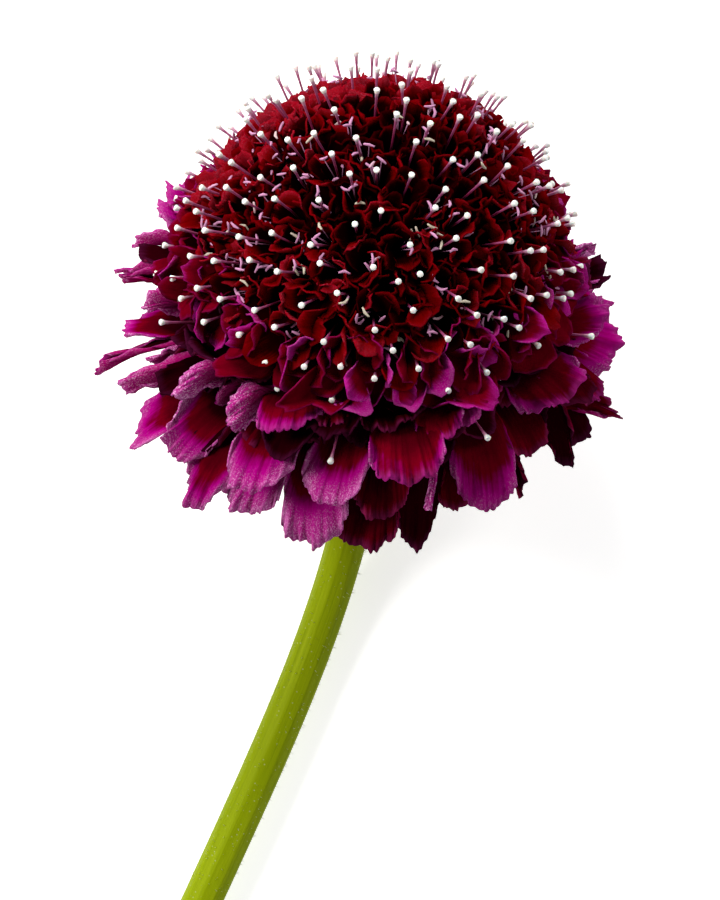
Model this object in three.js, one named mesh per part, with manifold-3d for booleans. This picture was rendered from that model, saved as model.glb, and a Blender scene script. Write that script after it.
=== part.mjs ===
// Scabiosa (pincushion flower), cut and laid down on a flat surface.
//
// Millimetres and degrees, +Z up, the surface at z = 0 and the origin on it, under the middle of the flower's
// outline. The head faces +Y and upwards, and the stem bends down to the surface and runs towards -Y.
//
// Five solids: the stem with the receptacle it swells into, the involucre of green bracts under the head, and the
// florets, in one solid for the dome of small ones and one for the skirt of large ones, because florets crowd
// and press on one another. The head has a frame of its own: its Z runs along the axis, out of the dome's top,
// its X is level and its Y points at the surface that the flower lies on.

import * as THREE from "three";
import { mergeVertices } from "three/addons/utils/BufferGeometryUtils.js";
import Module from "manifold-3d";

const wasm = await Module();
wasm.setup();

// Where the head is and how it lies.
const HEAD_CENTRE = new THREE.Vector3(4.6, 38.1, 23.2);
const HEAD_RISE = 42; // the axis above the level
const HEAD_TURN = 3; // the axis away from +Y, towards +X
const FLOOR_SOFTNESS = 1.2; // how gently a petal bends where it meets the surface
const FLOOR_LIFT = 0.14; // the middle of a petal above the surface, where it lies on it

// The stem and the receptacle.
const STEM_RADIUS = 2.2;
const STEM_RIBS = 7;
const STEM_RIB_DEPTH = 0.13;
const STEM_SWELL = 0.35; // how much wider the stem is where it meets the head
const STEM_BEND_RADIUS = 63; // of the bend, in side view, that brings the stem down to the surface
const STEM_LENGTH = 104; // from the receptacle to the cut
const STEM_TURN_NEAR = 3; // the stem's direction seen from above, away from -Y, near the head
const STEM_TURN_FAR = 25; // and at the cut end
const STEM_TURN_LENGTH = 32; // how fast it goes from one to the other
const STEM_STEPS = 26;
const RECEPTACLE_RADIUS = 4.5;
const RECEPTACLE_HEIGHT = -4.6; // its centre, along the head's axis

// The dome of small florets.
const CORE_RADIUS = 14.0; // the crowded tubes, which the florets' mouths stand out of
const DOME_EDGE = 86; // how far the small florets reach down the dome, from its top
const SMALL_FLORETS = 64;
const SPACING_GROWTH = 1; // over 1 crowds the florets towards the top
const GOLDEN_ANGLE = 180 * (3 - Math.sqrt(5));
const MOUTH_HEIGHT = 19.7; // of the lobes' tips, from the head's centre
const LOBES = 5;
const LOBE_REACH = [2.8, 3.3]; // at the dome's top and at its edge
const NOTCH_REACH = 0.68; // between the lobes, of the lobes' own
const LOBE_THICKNESS = 0.62;
const STYLE_RADIUS = 0.28;
const STIGMA_RADIUS = 0.55;
const STIGMA_HEIGHT = [22.6, 23.4]; // of the styles' tips, from the head's centre

// The skirt of large florets: three rows, from the top one down.
const RAY_ROWS = [
  { count: 7, offset: 10, length: 16.0, rise: 7, droop: 36, root: -3.1 },
  { count: 8, offset: 22, length: 18.2, rise: -8, droop: 48, root: -4.2 },
  { count: 8, offset: 4, length: 19.4, rise: -26, droop: 50, root: -5.3 },
];
const RAY_ROOT = 11.4; // from the head's axis
const RAY_TUBE = 3.0; // the narrow part, before the lobes spread
const RAY_THICKNESS = 0.62;
const RAY_THROAT = 1.5; // half its width at the tube
const RAY_SWAY = { from: 245, length: 0.06, rise: 3 }; // towards this azimuth they are longer and rise more
const RAY_FLATTER = { from: 100, share: 0.45 }; // towards this one they arch less
const RAY_LEAN = 0.16; // each floret laps one neighbour and lies under the other
const RAY_UNEVENNESS = 0.12; // of the outline of each
const RAY_SEED = 11;
// A large floret's outline: how far each column turns from the middle one and how far it reaches.
const RAY_OUTLINE = [
  { turn: -53, reach: 0.36 },
  { turn: -49, reach: 0.7 },
  { turn: -39, reach: 0.91 },
  { turn: -26, reach: 0.9 },
  { turn: -16, reach: 0.52 },
  { turn: -13, reach: 0.8 },
  { turn: -6, reach: 0.96 },
  { turn: 7, reach: 0.98 },
  { turn: 14, reach: 0.8 },
  { turn: 17, reach: 0.54 },
  { turn: 27, reach: 0.92 },
  { turn: 40, reach: 0.89 },
  { turn: 50, reach: 0.68 },
  { turn: 54, reach: 0.36 },
];
const RAY_STEPS = 3;
const RAY_RING = { inner: 5.0, outer: 13.6, top: -2.3, thickness: 3.0, slope: 0.2 };
// The underside of the dome, that the skirt stays below: [distance to the axis, height].
const DOME_UNDERSIDE = [
  [5.0, -4.02],
  [13.6, -2.3],
  [17.0, -1.6],
  [21.2, -1.4],
  [22.6, 0.6],
  [24.4, 1.0],
  [25.6, 12],
];
const DOME_SOFTNESS = 0.7; // how gently a petal bends where it meets the dome

// The involucre.
const BRACT_ROWS = [
  { count: 6, offset: 0, length: 11.4, rise: -3, droop: 32, root: -7.8 },
  { count: 6, offset: 30, length: 9.6, rise: -13, droop: 26, root: -8.1 },
];
const BRACT_WIDTH = 2.6;
const BRACT_THICKNESS = 0.7;
const BRACT_ROOT = 4.4; // from the axis
const COLLAR = { inner: 4.05, outer: 5.4, bottom: -8.55, top: -7.35 };
const BRACT_STEPS = 3;

const CLEARANCE = 0.3; // between pieces that touch

const rad = THREE.MathUtils.degToRad;
const mix = THREE.MathUtils.lerp;

// ---------------------------------------------------------------- helpers

// A repeatable draw from 0 to 1.
function seededDraw(seed) {
  let state = seed >>> 0;
  return () => {
    state = (state + 0x6d2b79f5) >>> 0;
    let t = state;
    t = Math.imul(t ^ (t >>> 15), t | 1);
    t ^= t + Math.imul(t ^ (t >>> 7), t | 61);
    return ((t ^ (t >>> 14)) >>> 0) / 4294967296;
  };
}

// The manifold-3d solid of a closed geometry, in the flower's frame.
function solidOf(geometry, matrix = new THREE.Matrix4()) {
  const bare = geometry.index ? geometry.toNonIndexed() : geometry.clone();
  bare.deleteAttribute("normal");
  bare.deleteAttribute("uv");
  const merged = mergeVertices(bare.applyMatrix4(matrix), 1e-4);
  const corners = merged.getIndex().array;
  const kept = [];
  for (let i = 0; i < corners.length; i += 3) {
    const [a, b, c] = corners.slice(i, i + 3);
    if (a !== b && b !== c && a !== c) kept.push(a, b, c);
  }
  return new wasm.Manifold(
    new wasm.Mesh({
      numProp: 3,
      vertProperties: merged.getAttribute("position").array,
      triVerts: new Uint32Array(kept),
    }),
  );
}

function geometryOf(solid) {
  const mesh = solid.getMesh();
  const geometry = new THREE.BufferGeometry();
  geometry.setAttribute("position", new THREE.BufferAttribute(new Float32Array(mesh.vertProperties), 3));
  geometry.setIndex(new THREE.BufferAttribute(new Uint32Array(mesh.triVerts), 1));
  geometry.computeVertexNormals();
  return geometry;
}

const join = (solids) => solids.reduce((all, one) => all.add(one));

// The largest of a solid's separate bodies: a cut can leave loose scraps.
function mainBody(solid) {
  return solid.decompose().sort((a, b) => b.volume() - a.volume())[0];
}

// A ring or a plug turned about the head's axis, from its half section [radius, height], listed counterclockwise.
function turned(section, segments) {
  const profile = [...section, section[0]].map(([radius, height]) => new THREE.Vector2(radius, height));
  const upright = new THREE.LatheGeometry(profile, segments).rotateX(Math.PI / 2);
  return solidOf(upright, headMatrix);
}

// ---------------------------------------------------------------- the head's frame

const headAxis = new THREE.Vector3(
  Math.sin(rad(HEAD_TURN)) * Math.cos(rad(HEAD_RISE)),
  Math.cos(rad(HEAD_TURN)) * Math.cos(rad(HEAD_RISE)),
  Math.sin(rad(HEAD_RISE)),
);
const headLevel = new THREE.Vector3(Math.cos(rad(HEAD_TURN)), -Math.sin(rad(HEAD_TURN)), 0);
const headDown = new THREE.Vector3().crossVectors(headAxis, headLevel);
const headMatrix = new THREE.Matrix4().makeBasis(headLevel, headDown, headAxis).setPosition(HEAD_CENTRE);

// A point of the head from its distance to the axis, its azimuth in radians and its height along the axis.
function headPoint(radius, azimuth, height) {
  return new THREE.Vector3(radius * Math.cos(azimuth), radius * Math.sin(azimuth), height).applyMatrix4(headMatrix);
}

// All the room under the dome, raised by a little.
function underDome(raised) {
  const edge = DOME_UNDERSIDE.map(([radius, height]) => [radius, height + raised]);
  const [first, last] = [edge[0], edge[edge.length - 1]];
  return turned([[0, -40], [40, -40], [40, last[1]], ...edge.reverse(), [0, first[1]]], 36);
}

// How high the dome's underside is at a distance from the axis.
function undersideHeight(radius) {
  const next = DOME_UNDERSIDE.findIndex(([edge]) => edge > radius);
  if (next === -1) return DOME_UNDERSIDE[DOME_UNDERSIDE.length - 1][1];
  if (next === 0) return DOME_UNDERSIDE[0][1];
  const [[a, low], [b, high]] = [DOME_UNDERSIDE[next - 1], DOME_UNDERSIDE[next]];
  return mix(low, high, (radius - a) / (b - a));
}

// Petals that would rise into the dome bend and lie under it.
function bentByDome(radius, height) {
  const below = undersideHeight(radius) - RAY_THICKNESS / 2 - height;
  return height + below - (below + Math.hypot(below, DOME_SOFTNESS)) / 2;
}

// Petals that would sink into the surface bend and lie along it.
function bentByFloor(point) {
  const above = point.z - FLOOR_LIFT;
  point.z = FLOOR_LIFT + (above + Math.hypot(above, FLOOR_SOFTNESS)) / 2;
  return point;
}

// ---------------------------------------------------------------- thin blades

// A closed blade: a grid of columns by rows whose middle surface is place(u, v), with u and v from 0 to 1.
// Both faces are split into the same triangles, so that they never cross.
function blade(columns, rows, thickness, place) {
  const grid = new THREE.PlaneGeometry(1, 1, columns, rows);
  const uv = grid.getAttribute("uv");
  const step = 1e-3;
  const points = [];
  for (const side of [0.5, -0.5]) {
    for (let i = 0; i < uv.count; i++) {
      const [u, v] = [uv.getX(i), uv.getY(i)];
      const along = place(u, v + step).sub(place(u, v - step));
      const across = place(u + step, v).sub(place(u - step, v));
      const normal = across.cross(along).normalize();
      points.push(...place(u, v).addScaledVector(normal, side * thickness));
    }
  }
  const top = [...grid.getIndex().array];
  const corners = [...top];
  for (let i = 0; i < top.length; i += 3) {
    corners.push(top[i] + uv.count, top[i + 2] + uv.count, top[i + 1] + uv.count);
  }
  const rim = [];
  for (let i = 0; i < columns; i++) rim.push(i);
  for (let j = 0; j < rows; j++) rim.push(j * (columns + 1) + columns);
  for (let i = columns; i > 0; i--) rim.push(rows * (columns + 1) + i);
  for (let j = rows; j > 0; j--) rim.push(j * (columns + 1));
  rim.forEach((a, n) => {
    const b = rim[(n + 1) % rim.length];
    corners.push(a, b, a + uv.count, b, b + uv.count, a + uv.count);
  });
  const geometry = new THREE.BufferGeometry();
  geometry.setAttribute("position", new THREE.Float32BufferAttribute(points, 3));
  geometry.setIndex(corners);
  return solidOf(geometry);
}

// Where a petal's middle line is after a given length: it starts at rise degrees and bends down by droop degrees.
function arched(root, length, rise, droop, along) {
  const steps = 8;
  let [radius, height] = root;
  for (let i = 0; i < steps; i++) {
    const share = ((i + 0.5) / steps) * (along / length);
    const slope = rad(rise - droop * share * Math.abs(share));
    radius += (Math.cos(slope) * along) / steps;
    height += (Math.sin(slope) * along) / steps;
  }
  return [radius, height];
}

// ---------------------------------------------------------------- the stem

// The stem's middle line, from inside the receptacle to the cut end.
function stemLine() {
  const start = headPoint(0, 0, RECEPTACLE_HEIGHT - 2.5);
  const rest = STEM_RADIUS - STEM_RIB_DEPTH / 2; // the height of the line where the stem lies on the surface
  const bendStart = Math.acos(1 - (start.z - rest) / STEM_BEND_RADIUS);
  const points = [start];
  const at = start.clone();
  const step = STEM_LENGTH / STEM_STEPS;
  for (let i = 0; i < STEM_STEPS; i++) {
    const run = (i + 0.5) * step;
    const fall = Math.max(bendStart - run / STEM_BEND_RADIUS, 0);
    const turn = rad(mix(STEM_TURN_FAR, STEM_TURN_NEAR, Math.exp(-((run / STEM_TURN_LENGTH) ** 2))));
    at.x -= Math.sin(turn) * Math.cos(fall) * step;
    at.y -= Math.cos(turn) * Math.cos(fall) * step;
    at.z -= Math.sin(fall) * step;
    points.push(at.clone());
  }
  return new THREE.CatmullRomCurve3(points);
}

// The receptacle: an egg that the stem's top swells into, down the head's axis to meet the stem.
function receptacle() {
  const egg = new THREE.SphereGeometry(RECEPTACLE_RADIUS, 14, 8).rotateX(Math.PI / 2);
  egg.translate(0, 0, RECEPTACLE_HEIGHT);
  return solidOf(egg, headMatrix);
}

function stemSolid() {
  const section = new THREE.Shape();
  const corners = STEM_RIBS * 2;
  for (let i = 0; i < corners; i++) {
    const radius = STEM_RADIUS - (i % 2) * STEM_RIB_DEPTH;
    const angle = (i / corners) * 2 * Math.PI;
    section[i ? "lineTo" : "moveTo"](radius * Math.cos(angle), radius * Math.sin(angle));
  }
  const line = stemLine();
  const tube = new THREE.ExtrudeGeometry(section, { steps: STEM_STEPS, bevelEnabled: false, extrudePath: line });
  const points = tube.getAttribute("position");
  const nearest = new THREE.Vector3();
  for (let i = 0; i < points.count; i++) {
    const corner = new THREE.Vector3().fromBufferAttribute(points, i);
    const step = Math.floor(Math.min(corner.distanceTo(line.points[0]), 12));
    line.getPointAt(Math.min(step / STEM_LENGTH, 1), nearest);
    const swell = 1 + (STEM_SWELL / STEM_RADIUS) * Math.exp(-step / 4);
    if (step < 12) corner.sub(nearest).multiplyScalar(swell).add(nearest);
    points.setXYZ(i, corner.x, corner.y, corner.z);
  }
  return join([solidOf(tube), receptacle()]);
}

// ---------------------------------------------------------------- the dome of small florets

// Where each small floret stands on the dome: a spiral that keeps them evenly spaced.
function smallFlorets(count, draw) {
  return Array.from({ length: count }, (_, i) => {
    const share = ((i + 0.5) / count) ** SPACING_GROWTH;
    const polar = Math.acos(1 - (1 - Math.cos(rad(DOME_EDGE))) * share);
    return { polar, azimuth: rad(i * GOLDEN_ANGLE), edge: polar / rad(DOME_EDGE), spin: draw() * 360, draw };
  });
}

// A frame whose Y points out of the dome at a floret, and whose X points away from the dome's top.
function floretMatrix({ polar, azimuth }) {
  const out = new THREE.Vector3(
    Math.sin(polar) * Math.cos(azimuth),
    Math.sin(polar) * Math.sin(azimuth),
    Math.cos(polar),
  );
  const side = new THREE.Vector3(-Math.sin(azimuth), Math.cos(azimuth), 0);
  const away = new THREE.Vector3().crossVectors(side, out);
  return new THREE.Matrix4().makeBasis(away, out, new THREE.Vector3().crossVectors(away, out)).premultiply(headMatrix);
}

// One small floret: a tube that opens into five lobes, with the lobes that point away from the top the longest.
function smallFloret(floret) {
  const reach = mix(...LOBE_REACH, floret.edge);
  const mouth = MOUTH_HEIGHT - LOBE_THICKNESS;
  const profile = [
    [0, CORE_RADIUS - 1.6],
    [1, mouth],
    [1, MOUTH_HEIGHT],
    [0, MOUTH_HEIGHT - 1.9],
  ].map(([radius, height]) => new THREE.Vector2(radius, height));
  const cup = new THREE.LatheGeometry(profile, LOBES * 2);
  const rim = Array.from({ length: LOBES * 2 }, (_, k) => {
    const outward = Math.cos(rad(k * 36 + floret.spin)) * 0.3 * floret.edge;
    const lobe = k % 2 ? NOTCH_REACH : 1;
    return { reach: reach * lobe * (1 + outward) * mix(0.9, 1.1, floret.draw()), lift: mix(-0.9, 0.7, floret.draw()) };
  });
  const points = cup.getAttribute("position");
  for (let i = 0; i < points.count; i++) {
    const [x, y, z] = [points.getX(i), points.getY(i), points.getZ(i)];
    if (y < mouth - 0.1 || Math.hypot(x, z) < 0.5) continue;
    const turn = Math.atan2(x, z);
    const { reach: length, lift } = rim[Math.round((turn / Math.PI) * LOBES + LOBES * 2) % (LOBES * 2)];
    points.setXYZ(i, x * length, y + lift, z * length);
  }
  return solidOf(cup.rotateY(rad(floret.spin)), floretMatrix(floret));
}

// A floret's style, with the stigma widening at its tip.
function pin(floret) {
  const tip = mix(...STIGMA_HEIGHT, floret.draw());
  const profile = [
    [0, MOUTH_HEIGHT - 3],
    [STYLE_RADIUS, MOUTH_HEIGHT - 3],
    [STYLE_RADIUS, tip - 0.9],
    [STIGMA_RADIUS, tip - 0.2],
    [0, tip],
  ].map(([radius, height]) => new THREE.Vector2(radius, height));
  return solidOf(new THREE.LatheGeometry(profile, 3).rotateY(floret.draw()), floretMatrix(floret));
}

function domeSolid() {
  const draw = seededDraw(5);
  const florets = smallFlorets(SMALL_FLORETS, draw);
  const core = solidOf(new THREE.IcosahedronGeometry(CORE_RADIUS, 2), headMatrix);
  const socket = solidOf(
    new THREE.SphereGeometry(RECEPTACLE_RADIUS + CLEARANCE, 14, 8).rotateX(Math.PI / 2).translate(0, 0, RECEPTACLE_HEIGHT),
    headMatrix,
  );
  const grown = join([core, ...florets.map(smallFloret), ...florets.map(pin)]);
  return mainBody(grown.subtract(underDome(CLEARANCE)).subtract(socket));
}

// ---------------------------------------------------------------- the skirt of large florets

// Where each large floret stands and how it bends.
function largeFlorets() {
  const draw = seededDraw(RAY_SEED);
  return RAY_ROWS.flatMap((row) =>
    Array.from({ length: row.count }, (_, i) => {
      const azimuth = rad(row.offset + (360 / row.count) * (i + 0.3 * (draw() - 0.5)));
      const sway = Math.cos(azimuth - rad(RAY_SWAY.from));
      const flatter = (1 + Math.cos(azimuth - rad(RAY_FLATTER.from))) / 2;
      return {
        azimuth,
        length: row.length * mix(0.94, 1.07, draw()) * (1 + RAY_SWAY.length * sway),
        rise: row.rise + 6 * (draw() - 0.5) + RAY_SWAY.rise * sway,
        droop: (row.droop + 12 * (draw() - 0.5)) * (1 - RAY_FLATTER.share * flatter),
        lean: RAY_LEAN * mix(0.7, 1.3, draw()),
        wave: mix(0.4, 0.9, draw()),
        edge: RAY_OUTLINE.map(() => 1 + RAY_UNEVENNESS * (draw() - 0.5)),
        root: row.root,
      };
    }),
  );
}

// One large floret: a narrow tube that spreads into three lobes, arched over and waved.
function largeFloret(floret) {
  const last = RAY_OUTLINE.length - 1;
  return blade(last, RAY_STEPS, RAY_THICKNESS, (u, v) => {
    const column = THREE.MathUtils.clamp(u * last, 0, last);
    const [a, b] = [Math.floor(column), Math.ceil(column)];
    const turn = rad(mix(RAY_OUTLINE[a].turn, RAY_OUTLINE[b].turn, column - a));
    const ends = [a, b].map((i) => RAY_OUTLINE[i].reach * floret.edge[i]);
    const reach = mix(...ends, column - a) * (floret.length - RAY_TUBE) * v;
    const side = 2 * u - 1;
    const across = side * RAY_THROAT + Math.sin(turn) * reach;
    const along = Math.cos(turn) * reach + RAY_TUBE * v;
    const [radius, height] = arched([RAY_ROOT, floret.root], floret.length, floret.rise, floret.droop, along);
    const lift = floret.lean * across * v + floret.wave * Math.cos(3 * Math.PI * side) * v ** 2;
    const turned = floret.azimuth + across / Math.max(radius, 1);
    return bentByFloor(headPoint(radius, turned, bentByDome(radius, height + lift)));
  });
}

// The ring of crowded tubes that the large florets spring from.
function rayRing() {
  const { inner, outer, top, thickness, slope } = RAY_RING;
  const drop = (outer - inner) * slope;
  const section = [
    [inner, top - drop - thickness],
    [outer, top - thickness],
    [outer, top],
    [inner, top - drop],
  ];
  return turned(section, 36);
}

function skirtSolid() {
  return mainBody(trimmed(join([rayRing(), ...largeFlorets().map(largeFloret)]).intersect(underDome(0))));
}

// What is left of a solid above the surface that the flower lies on, so that it rests on small flat spots.
function trimmed(solid) {
  const ground = new THREE.BoxGeometry(300, 300, 40).translate(0, 0, -20);
  return solid.subtract(solidOf(ground));
}

// ---------------------------------------------------------------- the involucre

// One bract: a narrow pointed leaf with a keel, arched under the head.
function bract({ azimuth, length, rise, droop, root }) {
  return blade(2, BRACT_STEPS, BRACT_THICKNESS, (u, v) => {
    const side = 2 * u - 1;
    const width = (BRACT_WIDTH / 2) * (0.6 + 0.9 * v) * Math.sqrt(Math.max(1.06 - v * v, 0)) * 0.98;
    const [radius, height] = arched([BRACT_ROOT, root], length, rise, droop, length * v);
    return headPoint(radius, azimuth + (side * width) / radius, height + 0.35 * side * side * v);
  });
}

function involucreSolid() {
  const { inner, outer, bottom, top } = COLLAR;
  const collar = turned([[inner - 0.9, bottom], [outer, bottom + 0.35], [outer, top], [inner, top]], 24);
  const bracts = BRACT_ROWS.flatMap((row) =>
    Array.from({ length: row.count }, (_, i) =>
      bract({ ...row, azimuth: rad(row.offset + (360 / row.count) * i) }),
    ),
  );
  return join([collar, ...bracts]);
}

// ---------------------------------------------------------------- the flower

function piece(name, solid, color, roughness) {
  const material = new THREE.MeshStandardMaterial({ color, roughness, metalness: 0 });
  const mesh = new THREE.Mesh(geometryOf(solid), material);
  mesh.name = name;
  return mesh;
}

const flower = new THREE.Group();
flower.add(
  piece("stem", trimmed(stemSolid()), 0x7a8a08, 0.55),
  piece("involucre", involucreSolid(), 0x5f7a1c, 0.6),
  piece("small_florets", domeSolid(), 0x64040f, 0.7),
  piece("large_florets", skirtSolid(), 0x8a0f5c, 0.6),
);

export default flower;
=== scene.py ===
"""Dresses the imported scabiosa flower: fine florets, pins, stamens, bracts and a hairy stem over the solids.

Lengths inside the script are in millimetres, in the frame's own axes, and each piece is scaled to metres at
the end. Angles in the constants are in degrees. The head has a frame of its own: its Z runs along the axis,
out of the dome's top, its X is level and its Y points at the surface that the flower lies on.
"""

import math

import bmesh
import bpy
from mathutils import Matrix, Vector


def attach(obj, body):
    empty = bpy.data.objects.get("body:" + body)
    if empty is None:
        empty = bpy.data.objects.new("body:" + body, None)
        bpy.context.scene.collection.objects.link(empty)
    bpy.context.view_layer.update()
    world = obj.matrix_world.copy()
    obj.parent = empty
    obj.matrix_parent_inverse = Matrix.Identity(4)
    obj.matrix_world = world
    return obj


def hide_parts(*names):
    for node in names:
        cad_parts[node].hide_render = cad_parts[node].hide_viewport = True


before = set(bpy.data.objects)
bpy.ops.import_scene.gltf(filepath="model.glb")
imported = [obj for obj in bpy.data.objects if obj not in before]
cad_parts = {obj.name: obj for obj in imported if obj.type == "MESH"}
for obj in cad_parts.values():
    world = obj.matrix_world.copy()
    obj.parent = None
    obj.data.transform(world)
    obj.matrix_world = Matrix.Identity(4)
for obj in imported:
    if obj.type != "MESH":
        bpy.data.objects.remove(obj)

bl_info = {
    "name": "Scabiosa flower",
    "version": (1, 0, 0),
    "blender": (4, 5, 0),
    "location": "View3D > Sidebar > Scabiosa",
    "description": "Builds the finished florets, pins, stamens, bracts and stem of a cut scabiosa",
    "category": "Object",
}

MM = 0.001
GOLDEN_ANGLE = 180 * (3 - math.sqrt(5))

# Where the chances of each group of pieces start.
SEEDS = {
    "large florets": 11,
    "large petals": 12,
    "showy petals": 3,
    "skirt pins": 19,
    "small florets": 5,
    "small lobes": 23,
    "stamens": 41,
    "bracts": 3,
    "hairs": 77,
}

# Where the head is and how it lies.
HEAD_CENTRE = Vector((4.6, 38.1, 23.2))
HEAD_RISE = 42
HEAD_TURN = 3

# How far petals stay from the surface, the dome and the skirt, and how softly they bend there.
FLOOR_LIFT = 0.14
FLOOR_SOFTNESS = 1.2
DOME_GAP = 0.3
DOME_SOFTNESS = 0.7
SKIRT_GAP = 0.2
SKIRT_SOFTNESS = 0.8

# The stem and the receptacle. The stem starts inside the receptacle, swells towards it, bends down to the
# surface and turns aside. Its cut end has two rings round the pith.
STEM_START = 2.5
STEM_SWELL = 0.35
STEM_SWELL_LENGTH = 4
STEM_BEND_RADIUS = 63
STEM_LENGTH = 104
STEM_TURN_NEAR = 3
STEM_TURN_FAR = 25
STEM_TURN_LENGTH = 32
STEM_SIDES = 54
STEM_STEPS = 104
STEM_RIBS = 9
STEM_RIB_DEPTH = 0.018
STEM_SINK = 0.065
STEM_LOWEST = 0.03
STEM_END_RINGS = (0.12, 0.35)
HAIR_LENGTH = (0.2, 0.55)
HAIR_ROOT = -0.05
RECEPTACLE_RADIUS = 4.5
RECEPTACLE_HEIGHT = -4.6

# The dome of small florets. DOME_UNDERSIDE holds distances to the axis and heights.
CORE_RADIUS = 15.4
CORE_KNOBS = 0.5
CORE_KNOB_WAVES = 19.8
CORE_LIFT = 0.4
DOME_EDGE = 85
DOME_RING = 0.86
DOME_FLATNESS = 0.0032
DOME_UNDERSIDE = (
    (5.0, -4.02),
    (13.6, -2.3),
    (17.0, -1.6),
    (21.2, -1.4),
    (22.6, 0.6),
    (24.4, 1.0),
    (25.6, 12),
)
# The dome's far side, uppermost in the view, where the lobes near the edge are painted paler and their tone
# raised: painted light
PAINTED_LIGHT_SIDE = 108
RING_LONGEST = 265
THROAT_HEIGHT = 16.2
LOBE_ROOT = (0.35, 15.9)
LOBE_LEAN = 8
STIGMA_HEIGHT = (22.5, 23.3)
ANTHER_HEIGHT = (19.3, 21.1)
ANTHER_DISTANCE = (0.4, 1.7)
ANTHER_SIZE = (0.7, 0.16, 0.15)

# A pin's half section, as distances to its axis and heights, where its head starts, how long a usual pin is
# and how far its stalk bows.
PIN_SECTION = (
    (0.38, 0.0), (0.36, 0.45), (0.38, 0.78), (0.56, 0.9),
    (1.0, 0.965), (1.02, 0.985), (0.8, 1.0), (0, 0.985),
)
PIN_NECK = 0.75
PIN_LENGTH = 6.8
PIN_BOW = 0.35

# The skirt of large florets, from the top row down: where its florets are rooted and how they rise and droop.
RAY_ROWS = (
    {"count": 7, "offset": 10, "length": 16.0, "rise": 7, "droop": 36, "root": -3.1},
    {"count": 8, "offset": 22, "length": 18.2, "rise": -8, "droop": 48, "root": -4.2},
    {"count": 8, "offset": 4, "length": 19.4, "rise": -26, "droop": 50, "root": -5.3},
)
RAY_ROOT = 11.4
RAY_TUBE = 3.0
RAY_SWAY = {"from": 245, "length": 0.06, "rise": 3}
RAY_FLATTER = {"from": 100, "share": 0.45}
RAY_LEAN = 0.16
RAY_UNEVENNESS = 0.12
RAY_COLUMNS = 14
RAY_LOBES = (
    {"turn": -33, "reach": 0.92, "root": -1.0, "columns": (2, 3)},
    {"turn": 0.5, "reach": 0.99, "root": 0.0, "columns": (6, 7)},
    {"turn": 34, "reach": 0.92, "root": 1.0, "columns": (10, 11)},
)
RAY_SHORT_LOBES = (
    {"turn": -17, "reach": 0.62, "root": -0.6, "columns": (4, 5)},
    {"turn": 17, "reach": 0.6, "root": 0.6, "columns": (8, 9)},
)
# On the skirt's right, away from the key light, the showy petals' tone peaks and paints them brighter: partly
# their own colour, partly painted light for the weaker light there
RAY_BRIGHTENED_SIDE = 345
TUBE_INWARD = 6.3
TUBE_OVERLAP = 0.9
TUBE_WIDTH = (0.75, 1.75)
TUBE_FLATNESS = 0.72

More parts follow.
